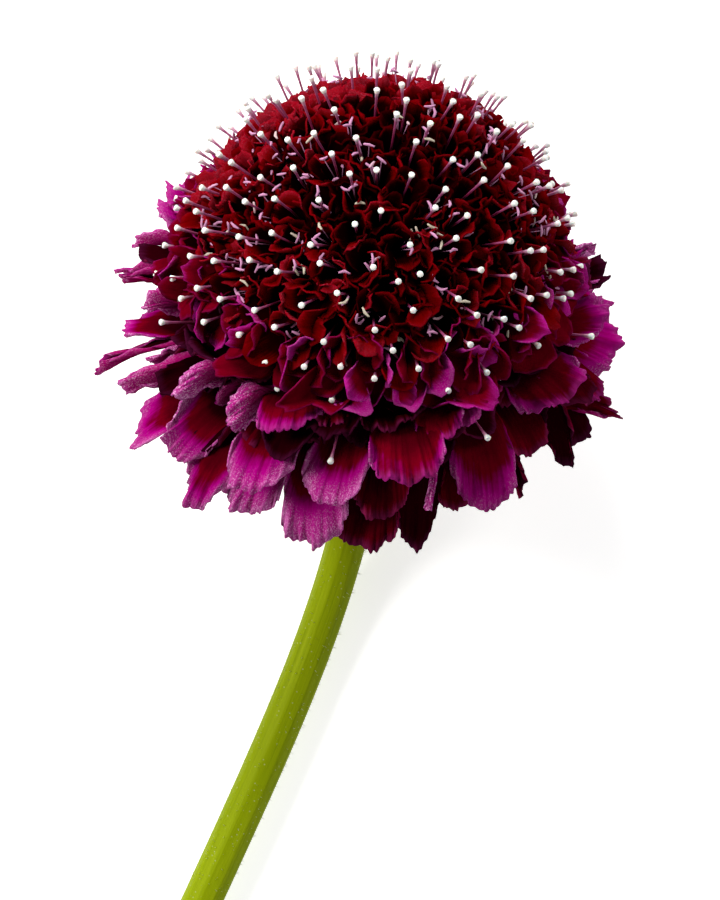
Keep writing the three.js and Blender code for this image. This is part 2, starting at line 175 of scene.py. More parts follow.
# The skirt's upper petals, one by one. short is 1 for one that stands up near the dome, point says how far it
# tapers (below 0 its end is broader), bend how far its end bends up and pale how pale its end is.
SHOWY_FIELDS = "row short azimuth turn length width curl twist point bend pale".split()
SHOWY_PETALS = (
    (0, 1, 195, -2, 10.6, 2.2, 0.35, 2, 0.3, 0, 0.89),
    (0, 0, 192, -29, 14.6, 2.1, 0.3, 0.6, 0.5, 0, 0.69),
    (1, 0, 197, -27, 13.4, 3.4, 0.06, 0.2, 0, 1, 0.86),
    (1, 0, 203, -19, 17.3, 1.8, 0.3, 0.25, 1, 1.2, 0.76),
    (1, 0, 212, -29, 12, 1.9, 0.3, -1.9, 0.3, 0.5, 0.89),
    (2, 0, 216, -51, 19.7, 1.3, 0.3, 0.4, 0.4, 0, 0.84),
    (1, 0, 223, -40, 18.5, 2.5, 0.3, 1.9, 0.4, 0, 0.89),
    (0, 1, 233, -24, 13.7, 2.1, 0.35, 2.1, 0.3, -0.5, 1),
    (2, 0, 221, -35, 18.7, 3.6, 0.1, 0.25, -0.1, 0, 0.92),
    (2, 0, 220, -5, 13.5, 3.3, 0.2, -0.5, 0.1, 0.8, 0.96),
    (1, 1, 231, -19, 8.5, 2.2, 0.2, 1.4, 0.2, -0.5, 0.79),
    (0, 1, 248, -24, 13, 2.4, 0.2, 2.2, 0.1, -0.5, 0.94),
    (2, 0, 229, -4, 17.1, 3.3, 0.1, 0.2, 0.1, -0.5, 0.92),
    (1, 0, 240, 8, 15, 3.7, -0.05, 0.15, -0.1, 0.3, 0.96),
    (2, 0, 244, -10, 14.7, 3.2, 0.08, -0.2, -0.1, -0.6, 1.04),
    (1, 1, 255, -16, 10.6, 1, 0.5, 1.6, 0.4, -0.5, 0.94),
    (2, 0, 252, 10, 16.2, 3.6, 0.05, 0.1, -0.15, -0.4, 1.04),
    (1, 0, 267, -11, 13.6, 3.6, 0.12, 0.35, -0.1, 0.3, 0.98),
    (1, 0, 275, -4, 14.6, 2.9, 0.05, -0.2, -0.05, -1, 0.6),
    (2, 0, 275, -9, 15.3, 3.2, 0.1, 0.2, -0.25, -0.8, 0.54),
    (2, 0, 287, -8, 15.4, 3.6, 0.1, -0.1, 0.45, -0.8, 0.42),
    (0, 0, 279, -1, 14.6, 3.8, -0.05, -0.1, -0.1, 0.4, 0.72),
    (1, 1, 300, -31, 15.1, 0.7, 0.6, 1.2, 0.5, -0.5, 0.92),
    (2, 0, 295, -1, 12, 2.8, 0.05, 0.2, 0.1, -0.6, 0.6),
    (1, 0, 309, -21, 15.3, 3.3, 0, 0.1, 0.02, -0.3, 0.8),
    # This petal and the two at 345 and 344 degrees, on the skirt's lower right, have a low pale: painted
    # shade where they lie in shadow
    (2, 0, 313, -1, 13.2, 1.5, 0.3, 0.9, 0.5, -0.6, 0.34),
    (1, 0, 317, -6, 11.2, 3.8, 0.06, -0.2, 0.1, -0.8, 0.59),
    (2, 0, 345, -22, 14.3, 2.2, 0.3, 1.1, 0.4, -0.6, 0.34),
    (2, 0, 344, -7, 13.2, 3.5, 0.1, 0.3, 0.2, -0.3, 0.38),
    (2, 0, 325, 37, 20.5, 1.5, 0.3, 0.8, 0.3, 0.6, 0.59),
    (1, 0, 348, -15, 12, 3.4, 0.05, -0.3, 0.05, 0.2, 0.7),
    (1, 0, 356, 4, 11.6, 4.8, -0.02, 0.1, -0.15, 1, 0.8),
    (0, 0, 327, -9, 10.9, 4.1, -0.04, 0.1, -0.1, 0.3, 0.74),
    (0, 1, 292, -13, 10.3, 2.7, 0.05, 0.2, 0, -0.5, 0.74),
    (0, 1, 240, 22, 12.4, 3.3, -0.08, 0.1, -0.15, -0.3, 0.78),
    (0, 1, 254, 18, 9.8, 2.7, 0.05, -0.2, -0.1, -0.4, 0.66),
    (0, 1, 304, -8, 6.6, 3.3, -0.05, 0.1, -0.1, -0.3, 0.64),
    (0, 1, 303, -18, 9.1, 2, 0.2, 0.4, 0.1, -0.5, 0.84),
    (0, 1, 276, 1, 5, 1.9, 0.05, 0.2, 0, -0.3, 0.89),
    (0, 1, 217, 32, 9.3, 2.9, -0.05, 0.1, -0.1, -0.3, 0.54),
    (1, 0, 152, 0, 16.5, 4, 0.2, 0.4, 0.4, 1, 0.85),
    (1, 0, 159, -10, 14.6, 2.4, 0.2, 0.4, 0.1, 0, 0.8),
    (1, 0, 166, -12, 16.2, 4.5, 0.15, 0.3, 0.3, 0.4, 0.8),
    (0, 0, 181, -5, 12.8, 2.1, 0.4, 1, 0.6, 0, 0.8),
    (0, 0, 150, 16, 11.6, 3.6, -0.05, 0.1, -0.1, 1.5, 0.92),
    (0, 0, 147, 8, 11.6, 3.2, -0.05, -0.1, -0.1, 2, 0.88),
    (0, 0, 45, 8, 11, 2, 0.05, 0.2, 0, 1.5, 0.89),
    (0, 0, 39, -10, 9.1, 2.3, 0.1, 0.4, 0.1, 1.5, 0.89),
    (0, 0, 38, -31, 9, 2.7, 0.05, 0.2, 0, 1.5, 0.59),
    (0, 0, 16, 8, 9.9, 1.5, 0.3, 1.2, 0.6, 1, 0.99),
    (0, 0, 11, 4, 8.4, 2.1, 0.1, 0.3, 0.1, 0.8, 0.64),
    (1, 0, 356, 39, 12, 2.1, 0.1, 1.9, 0.1, 0.8, 0.8),
    (0, 0, 343, 21, 10.2, 3.1, 0.1, 0.5, 0.1, 0.8, 0.78),
)
# Pins of the large florets that lean out over the skirt: the azimuth, distance to the axis and height of
# their heads.
SHOWY_PINS = (
    (243, 21.6, -0.5),
    (261, 25.3, -5.0),
    (278, 21.2, -3.2),
    (299, 24.8, -3.6),
    (206, 24.8, 0.5),
    (189, 23.7, 1.0),
    (337, 24.4, 0.5),
    (321, 20.8, -1.0),
    (336, 18.7, 0.5),
    (217, 20.2, 1.0),
    (310, 20.4, -0.5),
)

# Where the showy petals lie: the middle of the sector and how far it reaches to each side. The long petals
# under them are shorter.
SHOWY_SECTOR = {"middle": 258, "reach": 118}
UNDER_REACH = 0.66
SHORT_RISE = 3.2

# How deep the teeth of each kind of petal are, how many waves run along its margin, and the waves' shares in
# it: height, number and phase.
TEETH = {"showy": 0.019, "back": 0.017, "under": 0.012, "ring": 0.04, "dome": 0.018}
RUFFLES = (3.5, 6.5)
RUFFLE_WAVES = ((1, 1, 1), (0.5, 2.3, 2), (0.3, 5.1, 3))
BLADE_SPREAD = 80
PETAL_WALL = {"large": 0.2, "small": 0.14, "bract": 0.3}

# The involucre: its bracts, and a half section of the collar that they grow from.
BRACT_ROWS = (
    {"count": 6, "offset": 0, "length": 11.4, "rise": -3, "droop": 32, "root": -7.8},
    {"count": 6, "offset": 30, "length": 9.6, "rise": -13, "droop": 26, "root": -8.1},
)
BRACT_ROOT = 4.4
BRACT_WIDTH = 2.6
BRACT_KEEL = 0.34
COLLAR_SECTION = ((3.3, -8.5), (5.2, -8.2), (5.4, -7.5), (4.1, -7.4))

# The lights: where each is from the head, its width in millimetres, its power and its colour.
LIGHTS = (
    ("key", (-400, 130, 350), 220, 3.1, (1.0, 0.985, 0.96)),
    ("fill", (260, -320, 420), 420, 0.8, (0.97, 0.98, 1.0)),
    ("rim", (300, 300, 300), 200, 0.9, (1.0, 1.0, 1.0)),
    ("back", (-90, 460, 230), 200, 2.2, (1.0, 1.0, 1.0)),
)
WORLD_LIGHT = 0.07
WORLD_SEEN = 0.9
FLOOR_HALF = 3000

# How a petal's skin looks where nothing else is said, and the colour of its glints.
PETAL_LOOK = {"shift": 0.16, "fading": 0.0, "sides": 0.0, "margin": 0.07, "rim_share": 0.8, "glints": 0.72}
GLINT = (0.78, 0.42, 0.66)

# The camera looks straight down, from here over the head's centre.
CAMERA_OFFSET = (-1.995, -18.9, 450)
CAMERA_HALF_HEIGHT = 47.25
SENSOR = 36


def mix(a, b, share):
    return a + (b - a) * share


def seeded_draw(group):
    """Repeatable draws from 0 to 1 for a group of pieces."""
    state = SEEDS[group]

    def times(a, b):
        return (a * b) & 0xFFFFFFFF

    def draw():
        nonlocal state
        state = (state + 0x6D2B79F5) & 0xFFFFFFFF
        t = times(state ^ (state >> 15), state | 1)
        t ^= (t + times(t ^ (t >> 7), t | 61)) & 0xFFFFFFFF
        return (t ^ (t >> 14)) / 4294967296

    return draw


def swing(draw, width):
    """A draw that swings evenly about 0."""
    return width * (draw() - 0.5)


# ---------------------------------------------------------------- the head's frame


def head_axes():
    rise, turn = math.radians(HEAD_RISE), math.radians(HEAD_TURN)
    axis = Vector((math.sin(turn) * math.cos(rise), math.cos(turn) * math.cos(rise), math.sin(rise)))
    level = Vector((math.cos(turn), -math.sin(turn), 0))
    return level, axis.cross(level), axis


LEVEL, DOWN, AXIS = head_axes()


def in_head(x, y, z, start=HEAD_CENTRE):
    """A point of the head's own frame in the part's axes, from the head's centre or another start."""
    return start + LEVEL * x + DOWN * y + AXIS * z


def head_point(radius, azimuth, height):
    """A point from its distance to the head's axis, its azimuth and its height along the axis."""
    return in_head(radius * math.cos(azimuth), radius * math.sin(azimuth), height)


def underside_height(radius):
    """How high the dome's underside is at a distance from the axis."""
    if radius <= DOME_UNDERSIDE[0][0]:
        return DOME_UNDERSIDE[0][1]
    for (a, low), (b, high) in zip(DOME_UNDERSIDE, DOME_UNDERSIDE[1:]):
        if radius < b:
            return mix(low, high, (radius - a) / (b - a))
    return DOME_UNDERSIDE[-1][1]


def kept_above(height, softness):
    """A height that never gets below 0 and bends softly where it comes near it."""
    return (height + math.hypot(height, softness)) / 2


def bent_by_dome(radius, height):
    """Petals that would rise into the dome bend and lie under it."""
    below = underside_height(radius) - DOME_GAP - height
    return height + below - kept_above(below, DOME_SOFTNESS)


def bent_by_floor(point):
    """Petals that would sink into the surface bend and lie along it."""
    point.z = FLOOR_LIFT + kept_above(point.z - FLOOR_LIFT, FLOOR_SOFTNESS)
    return point


def bent_by_skirt(point):
    """Small lobes that would sink into the skirt bend and lie on it."""
    away = point - HEAD_CENTRE
    height = away.dot(AXIS)
    radius = (away - AXIS * height).length
    above = height - min(underside_height(radius), 1.0) - SKIRT_GAP
    return point + AXIS * kept_above(-above, SKIRT_SOFTNESS)


def slope(petal, share):
    """How steeply a petal's middle line rises at a share of its length."""
    return math.radians(petal["rise"] - petal["droop"] * share * abs(share))


def arched(petal, along, start=RAY_ROOT):
    """How far from the axis and how high a petal's middle line is after a given length."""
    steps = 8
    radius, height = start, petal["root"]
    for i in range(steps):
        angle = slope(petal, ((i + 0.5) / steps) * (along / petal["length"]))
        radius += math.cos(angle) * along / steps
        height += math.sin(angle) * along / steps
    return radius, height


def blade(petal, side, v):
    """A petal's flat outline, at a place across it from -1 to 1 and along it from 0 to 1.

    It is narrow at its base and widest near its toothed end, which is round (point 0) or tapers (1). Gives
    the distance across and along the petal, the place along its margin and how near the margin is.
    """
    phase, point = petal["phase"], petal["point"]
    margin = max(v**3, abs(side) ** 3 * math.sqrt(v))
    around = 1.6 * side + math.copysign(1.2 * (1 - v), side) * abs(side)
    wobble = 0.45 * math.sin(3.4 * around + phase) + 0.4 * math.sin(8 * around + 1.7 * phase)
    wobble += abs(math.sin(12 * around + 2.3 * phase)) * (0.9 + 0.5 * math.sin(7 * around + 3 * phase))
    grown = 1 + petal["teeth"] * margin * wobble
    spread = math.radians(BLADE_SPREAD)
    angle = spread * side
    across = petal["width"] * math.sin(angle) / math.sin(spread)
    across *= 0.24 + 0.76 * math.sin(v * math.pi / 2) ** 1.2
    across *= 1 - 0.7 * max(point, 0) * v**3
    shoulder = mix(0.7, 0.2, point)
    along = petal["length"] * v * (shoulder + (1 - shoulder) * math.cos(angle))
    return across * grown, along * grown, around, margin


def rolled(across, curl, twist):
    """Rolls a distance across a petal up into a gutter and twists it: gives the new distance and the lift."""
    curl = math.copysign(max(abs(curl), 1e-3), curl)
    a, lift = math.sin(curl * across) / curl, (1 - math.cos(curl * across)) / curl
    return a * math.cos(twist) - lift * math.sin(twist), a * math.sin(twist) + lift * math.cos(twist)


def turned(x, y, turn):
    return math.cos(turn) * x - math.sin(turn) * y, math.sin(turn) * x + math.cos(turn) * y


# ---------------------------------------------------------------- meshes


def template(make):
    """A mesh that is copied many times, from a function that models it in a bmesh."""
    bm = bmesh.new()
    bm.loops.layers.uv.new("UVMap")
    make(bm)
    mesh = bpy.data.meshes.new("template")
    bm.to_mesh(mesh)
    bm.free()
    return mesh


def grid_template(columns, rows):
    return template(
        lambda bm: bmesh.ops.create_grid(bm, x_segments=columns, y_segments=rows, size=0.5, calc_uvs=True)
    )


def cone_template(segments, low, high):
    return template(
        lambda bm: bmesh.ops.create_cone(
            bm, cap_ends=True, segments=segments, radius1=low, radius2=high, depth=1
        )
    )


def add_cut_tube(bm, segments, cuts):
    """A closed tube of radius 1 and length 1 along Z, cut into rings."""
    bmesh.ops.create_cone(bm, cap_ends=True, segments=segments, radius1=1, radius2=1, depth=1)
    upright = [edge for edge in bm.edges if abs(edge.verts[0].co.z - edge.verts[1].co.z) > 0.5]
    bmesh.ops.subdivide_edges(bm, edges=upright, cuts=cuts)


def add_spun(bm, section, steps, ring=False):
    """Spins a half section, given as distances to the axis and heights, about Z; a ring's is closed."""
    corners = [bm.verts.new((radius, 0, height)) for radius, height in section]
    ends = corners[1:] + corners[:1] if ring else corners[1:]
    edges = [bm.edges.new(pair) for pair in zip(corners, ends)]
    bmesh.ops.spin(
        bm, geom=corners + edges, cent=(0, 0, 0), axis=(0, 0, 1), angle=math.tau, steps=steps, use_merge=True
    )
    bmesh.ops.remove_doubles(bm, verts=bm.verts, dist=1e-4)
    bmesh.ops.holes_fill(bm, edges=[edge for edge in bm.edges if edge.is_boundary])
    bmesh.ops.recalc_face_normals(bm, faces=bm.faces)


def repeat(bm, mesh, items, shape, kept=(), **measured):
    """Adds a copy of mesh for each item, with every corner moved to shape(item, corner).

    Each corner keeps its item's values named in kept, and what each function in measured gives for it.
    """
    for name in kept:
        measured[name] = lambda item, corner, name=name: item[name]
    first = len(bm.verts)
    for _ in items:
        bm.from_mesh(mesh)
    size = len(mesh.vertices)
    layers = {name: bm.verts.layers.float.get(name) or bm.verts.layers.float.new(name) for name in measured}
    for index, vert in enumerate(list(bm.verts)[first:]):
        item = items[index // size]
        corner = vert.co.copy()
        vert.co = shape(item, corner)
        for name, value in measured.items():
            vert[layers[name]] = value(item, corner)


def finished(bm, name, nodes, materials, thickness=0.0):
    """Turns a bmesh in millimetres into a piece of the flower that stands for its nodes."""
    bmesh.ops.scale(bm, vec=(MM, MM, MM), verts=bm.verts)
    for face in bm.faces:
        face.smooth = True
    mesh = bpy.data.meshes.new(name)
    bm.to_mesh(mesh)
    bm.free()
    for material in materials:
        mesh.materials.append(material)
    piece = bpy.data.objects.new(name, mesh)
    bpy.context.scene.collection.objects.link(piece)
    if thickness:
        wall = piece.modifiers.new("Thickness", "SOLIDIFY")
        wall.thickness = thickness * MM
        wall.offset = -1
        wall.material_offset = len(materials) - 1
        wall.material_offset_rim = 0
    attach(piece, "root")
    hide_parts(*nodes)


def petal_piece(name, nodes, grid, petals, place, skins, thickness):
    """A piece made of one petal after another, each a bent copy of a grid."""
    bm = bmesh.new()
    repeat(bm, grid_template(*grid), petals, place, kept=("tone", "pale"))
    finished(bm, name, nodes, skins, thickness=thickness)


# ---------------------------------------------------------------- material helpers


class Value:
    """What a node puts out. Sums, products and powers of values add the nodes that work them out."""

    def __init__(self, socket):
        self.socket = socket
        self.tree = socket.id_data

    def __add__(self, other):
        return maths(self.tree, "ADD", self, other)

    def __sub__(self, other):
        return maths(self.tree, "SUBTRACT", self, other)

    def __rsub__(self, other):
        return maths(self.tree, "SUBTRACT", other, self)

    def __mul__(self, other):
        return maths(self.tree, "MULTIPLY", self, other)

    def __pow__(self, other):
        return maths(self.tree, "POWER", self, other)

    def __abs__(self):
        return maths(self.tree, "ABSOLUTE", self)

    def clamped(self):
        self.socket.node.use_clamp = True
        return self


def connect(target, inputs):
    """Links a node's inputs to values of other nodes, or sets them."""
    for key, given in inputs.items():
        if isinstance(given, Value):
            target.id_data.links.new(given.socket, target.inputs[key])
        else:
            target.inputs[key].default_value = given


def node(tree, kind, inputs=None, **settings):
    made = tree.nodes.new(kind)
    for name, setting in settings.items():
        setattr(made, name, setting)
    connect(made, inputs or {})
    return made


def value_of(tree, kind, inputs=None, output=0, **settings):
    """What a new node puts out."""
    return Value(node(tree, kind, inputs, **settings).outputs[output])


def values_of(tree, kind, inputs=None, **settings):
    """All that a new node puts out."""
    return [Value(socket) for socket in node(tree, kind, inputs, **settings).outputs]


def maths(tree, operation, *numbers):
    return value_of(tree, "ShaderNodeMath", dict(enumerate(numbers)), operation=operation)


def joined(x, y, z):
    return value_of(x.tree, "ShaderNodeCombineXYZ", {0: x, 1: y, 2: z})


def attribute(tree, name, output="Fac"):
    settings = {"attribute_name": name, "attribute_type": "GEOMETRY"}
    return value_of(tree, "ShaderNodeAttribute", output=output, **settings)


def object_place(tree):
    return value_of(tree, "ShaderNodeTexCoord", output="Object")


def noise(place, scale, detail=2.0, roughness=0.5):
    inputs = {"Vector": place, "Scale": scale, "Detail": detail, "Roughness": roughness}
    return value_of(place.tree, "ShaderNodeTexNoise", inputs)


def cells(place, scale):
    return value_of(place.tree, "ShaderNodeTexVoronoi", {"Vector": place, "Scale": scale}, output="Distance")


def step(number, low, high, kind="SMOOTHSTEP"):
    """Runs from 0 where a number is at its low to 1 at its high."""
    inputs = {"Value": number, "From Min": low, "From Max": high}
    return value_of(number.tree, "ShaderNodeMapRange", inputs, interpolation_type=kind)


def raised(height, strength, distance, invert=False):
    """Normals of a relief."""
    inputs = {"Height": height, "Strength": strength, "Distance": distance}
    return value_of(height.tree, "ShaderNodeBump", inputs, invert=invert)


def opaque(colour):
    return (*colour[:3], 1)


def blended(a, b, share):
    return tuple(mix(low, high, share) for low, high in zip(a, b))


def tinted(colour, *factors):
    return tuple(part * factor for part, factor in zip(colour, factors))


def covered(share, skin, colour):
    """A skin with a share of another colour over it."""
    inputs = {0: share, 6: skin, 7: opaque(colour)}
    return value_of(share.tree, "ShaderNodeMix", inputs, output=2, data_type="RGBA")


def ramp(number, stops):
    """The colour at a number between stops, which are positions and colours."""
    made = node(number.tree, "ShaderNodeValToRGB", {0: number})
    made.color_ramp.interpolation = "EASE"
    elements = made.color_ramp.elements
    elements.remove(elements[-1])
    elements[0].position, elements[0].color = stops[0][0], opaque(stops[0][1])
    for position, colour in stops[1:]:
        elements.new(position).color = opaque(colour)
    return Value(made.outputs["Color"])


def new_material(name):
    material = bpy.data.materials.new(name)
    material.use_nodes = True
    return material, material.node_tree, material.node_tree.nodes["Principled BSDF"]


def spotted_material(name, pattern, stops, surface):
    """A material whose colours follow a pattern in the object's own coordinates."""
    material, tree, shader = new_material(name)
    connect(shader, {"Base Color": ramp(pattern(object_place(tree)), stops), **surface})
    return material


def petal_pattern():
    """What every petal carries: streaks that fan out from its base, a grain of fine papillae and patches."""
    name = "Petal pattern"
    if name in bpy.data.node_groups:
        return bpy.data.node_groups[name]
    group = bpy.data.node_groups.new(name, "ShaderNodeTree")
    for label, default in (("Streak Scale", 34.0), ("Grain Scale", 85.0)):
        socket = group.interface.new_socket(label, in_out="INPUT", socket_type="NodeSocketFloat")
        socket.default_value = default
    for label in ("Across", "Along", "Streaks", "Grain", "Patches"):
        group.interface.new_socket(label, in_out="OUTPUT", socket_type="NodeSocketFloat")
    streak_scale, grain_scale = values_of(group, "NodeGroupInput")[:2]
    place = value_of(group, "ShaderNodeUVMap", uv_map="UVMap")
    across, along = values_of(group, "ShaderNodeSeparateXYZ", {0: place})[:2]
    tone = attribute(group, "tone")
    streaks = noise(joined(across * streak_scale, along * 2.2, tone * 31.0), 1.0, 3.0, 0.6)
    grain = noise(joined(across, along * 0.9, tone * 17.0), grain_scale, 2.0, 0.65)
    patches = noise(object_place(group), 260.0, 3.0, 0.55)
    node(group, "NodeGroupOutput", dict(enumerate((across, along, streaks, grain, patches))))
    return group


def petal_material(name, palette, edge_colour, sparkle, **changes):
    """A petal's skin: the palette runs from its base to its tip, and edge_colour follows its margin.

    In PETAL_LOOK, shift says how far a petal's tone moves the palette, fading how much less at its tip, sides
    how much further on the palette is at the sides, margin and rim_share how wide and how strong the edge's
    colour is, and glints from where on the papillae glint, by sparkle.
    """
    look = {**PETAL_LOOK, **changes}
    material, tree, shader = new_material(name)
    across, along, streaks, grain, patches = values_of(tree, "ShaderNodeGroup", node_tree=petal_pattern())
    tone, pale = attribute(tree, "tone"), attribute(tree, "pale")
    side = abs(across * 2.0 - 1.0)
    stage = along * pale
    stage = stage + side**2.5 * (stage * look["sides"])
    stage = stage + (tone - 0.5) * ((1.0 - along * look["fading"]) * look["shift"])
    stage = stage + (streaks - 0.5) * 0.14
    stage = (stage + (patches - 0.5) * 0.25).clamped()
    outward = maths(tree, "MAXIMUM", side * along**0.35, along)
    rim = step(outward + (streaks - 0.5) * 0.1, 1 - look["margin"], 1.0)
    skin = covered(rim * (stage**2.0 * look["rim_share"]), ramp(stage, palette), edge_colour)
    glints = step(grain, 0.5, 0.66) * (step(stage, look["glints"], 1.0) * sparkle)
    surface = {
        "Base Color": covered(glints, skin, GLINT),
        "Normal": raised(streaks * 0.6 + grain * 0.5, 0.55, 0.0002),
        "Roughness": 0.8,
        "Specular IOR Level": 0.0,
    }
    connect(shader, surface)
    return material


# ---------------------------------------------------------------- what a user would change


def length_property(name, description, default):
    return bpy.props.FloatProperty(name=name, description=description, default=default, unit="LENGTH")


class ScabiosaSizes(bpy.types.PropertyGroup):
    stem_radius: length_property("Stem radius", "Half the stem's thickness", 0.0022)
    stem_hairs: bpy.props.IntProperty(
        name="Stem hairs", description="How many short hairs stand on the stem", default=700
    )
    small_florets: bpy.props.IntProperty(
        name="Small florets", description="How many florets the dome is made of", default=195
    )
    small_length_top: length_property("Small lobe at the top", "Length of a lobe at the dome's top", 0.0047)
    small_length_edge: length_property("Small lobe at the edge", "Length of one that faces the skirt", 0.0118)
    stigma_radius: length_property("Stigma radius", "Half the width of a pin's head", 0.00033)
    ruffle: length_property("Ruffle", "How high the waves along a large petal's margin are", 0.0005)


def colour_property(name, description, default):
    return bpy.props.FloatVectorProperty(
        name=name, description=description, default=default, subtype="COLOR", size=3, min=0, max=1
    )


class ScabiosaColours(bpy.types.PropertyGroup):
    # Near black: partly the large petals' own dark base, partly painted shade where their bases lie under
    # other petals
    throat: colour_property("Throat", "The base of a large petal", (0.006, 0.0, 0.001))
    crimson: colour_property("Crimson", "The middle of a large petal", (0.122, 0.0, 0.006))
    magenta: colour_property("Magenta", "The outer part of a large petal", (0.31, 0.0003, 0.16))
    lilac: colour_property("Lilac", "The tip of a large petal", (0.52, 0.13, 0.38))
    floret: colour_property("Small floret", "The lobes of a small floret", (0.132, 0.0, 0.0004))
    floret_rim: colour_property("Small floret's rim", "The margin of a small floret", (0.27, 0.0004, 0.009))
    style: colour_property("Style", "A pin's stalk, at its base", (0.16, 0.008, 0.05))
    stigma: colour_property("Stigma", "A pin's head", (0.80, 0.80, 0.76))
    anther: colour_property("Anther", "A stamen's head", (0.46, 0.17, 0.34))
    stem: colour_property("Stem", "The stem's skin", (0.225, 0.29, 0.001))
    bract: colour_property("Bract", "The bracts under the head", (0.12, 0.20, 0.02))
    floor: colour_property("Floor", "The surface that the flower lies on", (0.90, 0.90, 0.89))


# ---------------------------------------------------------------- the skirt of large florets


def ray_bend(row, azimuth, length=1.0, rise=0.0, droop=0.0, lean=1.0):
    """How a large floret of a row stands and bends at an azimuth, with what chance changes about that."""
    sway = math.cos(azimuth - math.radians(RAY_SWAY["from"]))
    flatter = (1 + math.cos(azimuth - math.radians(RAY_FLATTER["from"]))) / 2
    return {
        "azimuth": azimuth,
        "root": row["root"],
        "length": row["length"] * length * (1 + RAY_SWAY["length"] * sway),
        "rise": row["rise"] + rise + RAY_SWAY["rise"] * sway,
        "droop": (row["droop"] + droop) * (1 - RAY_FLATTER["share"] * flatter),
        "lean": RAY_LEAN * lean,
    }


def large_florets():
    """Where each large floret stands and how it bends, by the same rule and draws as its solid."""
    draw = seeded_draw("large florets")
    florets = []
    for row in RAY_ROWS:
        for i in range(row["count"]):
            azimuth = math.radians(row["offset"] + (360 / row["count"]) * (i + swing(draw, 0.3)))
            floret = ray_bend(
                row, azimuth, mix(0.94, 1.07, draw()), swing(draw, 6), swing(draw, 12), mix(0.7, 1.3, draw())
            )
            # one draw goes to a wave that only the solid has
            draw()
            floret["edge"] = [1 + swing(draw, RAY_UNEVENNESS) for _ in range(RAY_COLUMNS)]
            florets.append(floret)
    return florets


def in_lowest_row(floret):
    return floret["root"] == RAY_ROWS[-1]["root"]


def in_showy_sector(azimuth):
    away = math.degrees(azimuth) - SHOWY_SECTOR["middle"]
    return abs((away + 180) % 360 - 180) < SHOWY_SECTOR["reach"]


def margin_chances(draw, **more):
    """The phase and number of the waves along a petal's margin, and other values drawn between two limits."""
    chances = {"phase": math.tau * draw(), "ruffles": mix(*RUFFLES, draw())}
    for name, limits in more.items():
        chances[name] = mix(*limits, draw())
    return chances


def showy_petals():
    """The petals that lie on top, with the small chances of their margins."""
    draw = seeded_draw("showy petals")
    petals = []
    for values in SHOWY_PETALS:
        petal = dict(zip(SHOWY_FIELDS, values), kind="showy", sideways=0.0, teeth=TEETH["showy"])
        azimuth = petal["azimuth"]
        petal["floret"] = ray_bend(RAY_ROWS[petal["row"]], math.radians(azimuth))
        petal["turn"] = math.radians(petal["turn"])
        petal.update(margin_chances(draw, ruffle=(0.6, 1.3)))
        # The tone peaks on the skirt's right: partly the petals' own colour, partly painted light there
        petal["tone"] = 0.32 + 0.6 * math.cos(math.radians(azimuth - RAY_BRIGHTENED_SIDE)) + swing(draw, 0.2)
        petal["pale"] *= 1 - 0.06 * math.cos(math.radians(azimuth - RAY_BRIGHTENED_SIDE + 15))
        petals.append(petal)
    return petals


def large_petals(florets):
    """The lobes of the large florets: three long ones each, and on the upper rows two short ones over them.

    Where the showy petals lie, only shorter long ones are left under them, painted darker: painted shade
    under the showy petals.
    """
    draw = seeded_draw("large petals")
    petals = showy_petals()
    for floret in florets:
        facing = max(math.cos(floret["azimuth"] - math.radians(SHOWY_SECTOR["middle"])), 0)
        lobes = [dict(lobe, short=0) for lobe in RAY_LOBES]
        if not in_lowest_row(floret):
            lobes += [dict(lobe, short=1) for lobe in RAY_SHORT_LOBES]
        for lobe in lobes:
            short = lobe["short"]
            under = in_showy_sector(floret["azimuth"] + math.radians(lobe["turn"]) * 0.6)
            reach = lobe["reach"] * (mix(0.75, 1.3, draw()) if short else mix(0.8, 0.98, draw()))
            reach *= sum(floret["edge"][i] for i in lobe["columns"]) / 2
            kind = "under" if under or short else "back"
            petal = {
                "floret": floret,
                "kind": kind,
                "teeth": TEETH[kind],
                "short": short,
                "turn": math.radians(lobe["turn"] + swing(draw, 9)),
                "sideways": lobe["root"],
                "length": (floret["length"] - RAY_TUBE) * reach * (UNDER_REACH if under and not short else 1),
                "width": mix(2.6, 3.6, draw()),
                "twist": mix(-0.55, 0.55, draw()),
                "curl": mix(-0.12, 0.26, draw()),
                "point": mix(-0.15, 0.3, draw()),
                "bend": mix(-2.6, 1.6, draw()) + SHORT_RISE * short * (1 - 0.8 * facing),
                **margin_chances(draw, ruffle=(0.7, 1.5)),
                "tone": draw(),
                # Under the showy petals the pale is lower: painted shade
                "pale": mix(0.26, 0.56, draw()) if under else mix(0.6, 0.9, draw()) - 0.12 * short,
            }
            petals.append(petal)
    return petals


def large_petal_point(ruffle):
    """A function that places a corner of a large petal, with waves of a height along its margin."""

    def place(petal, corner):
        floret = petal["floret"]
        side, v = -2 * corner.x, corner.y + 0.5
        across, span, around, margin = blade(petal, side, v)
        across, lift = rolled(across, petal["curl"] * (0.3 + 0.7 * v), petal["twist"] * v)
        lift += petal["bend"] * v**3 + petal["short"] * 2.2 * v * (1.5 - v)
        waves = sum(
            height * math.sin(number * petal["ruffles"] * around + phase * petal["phase"])
            for height, number, phase in RUFFLE_WAVES
        )
        lift += ruffle * petal["ruffle"] * margin**1.8 * waves
        along, across = turned(span, across, petal["turn"])
        along += RAY_TUBE
        across += petal["sideways"]
        radius, height = arched(floret, along)
        angle = slope(floret, along / floret["length"])
        radius -= math.sin(angle) * lift
        height += math.cos(angle) * lift + floret["lean"] * across * v
        azimuth = floret["azimuth"] + across / max(radius, 1)
        return bent_by_floor(head_point(radius, azimuth, bent_by_dome(radius, height)))

    return place


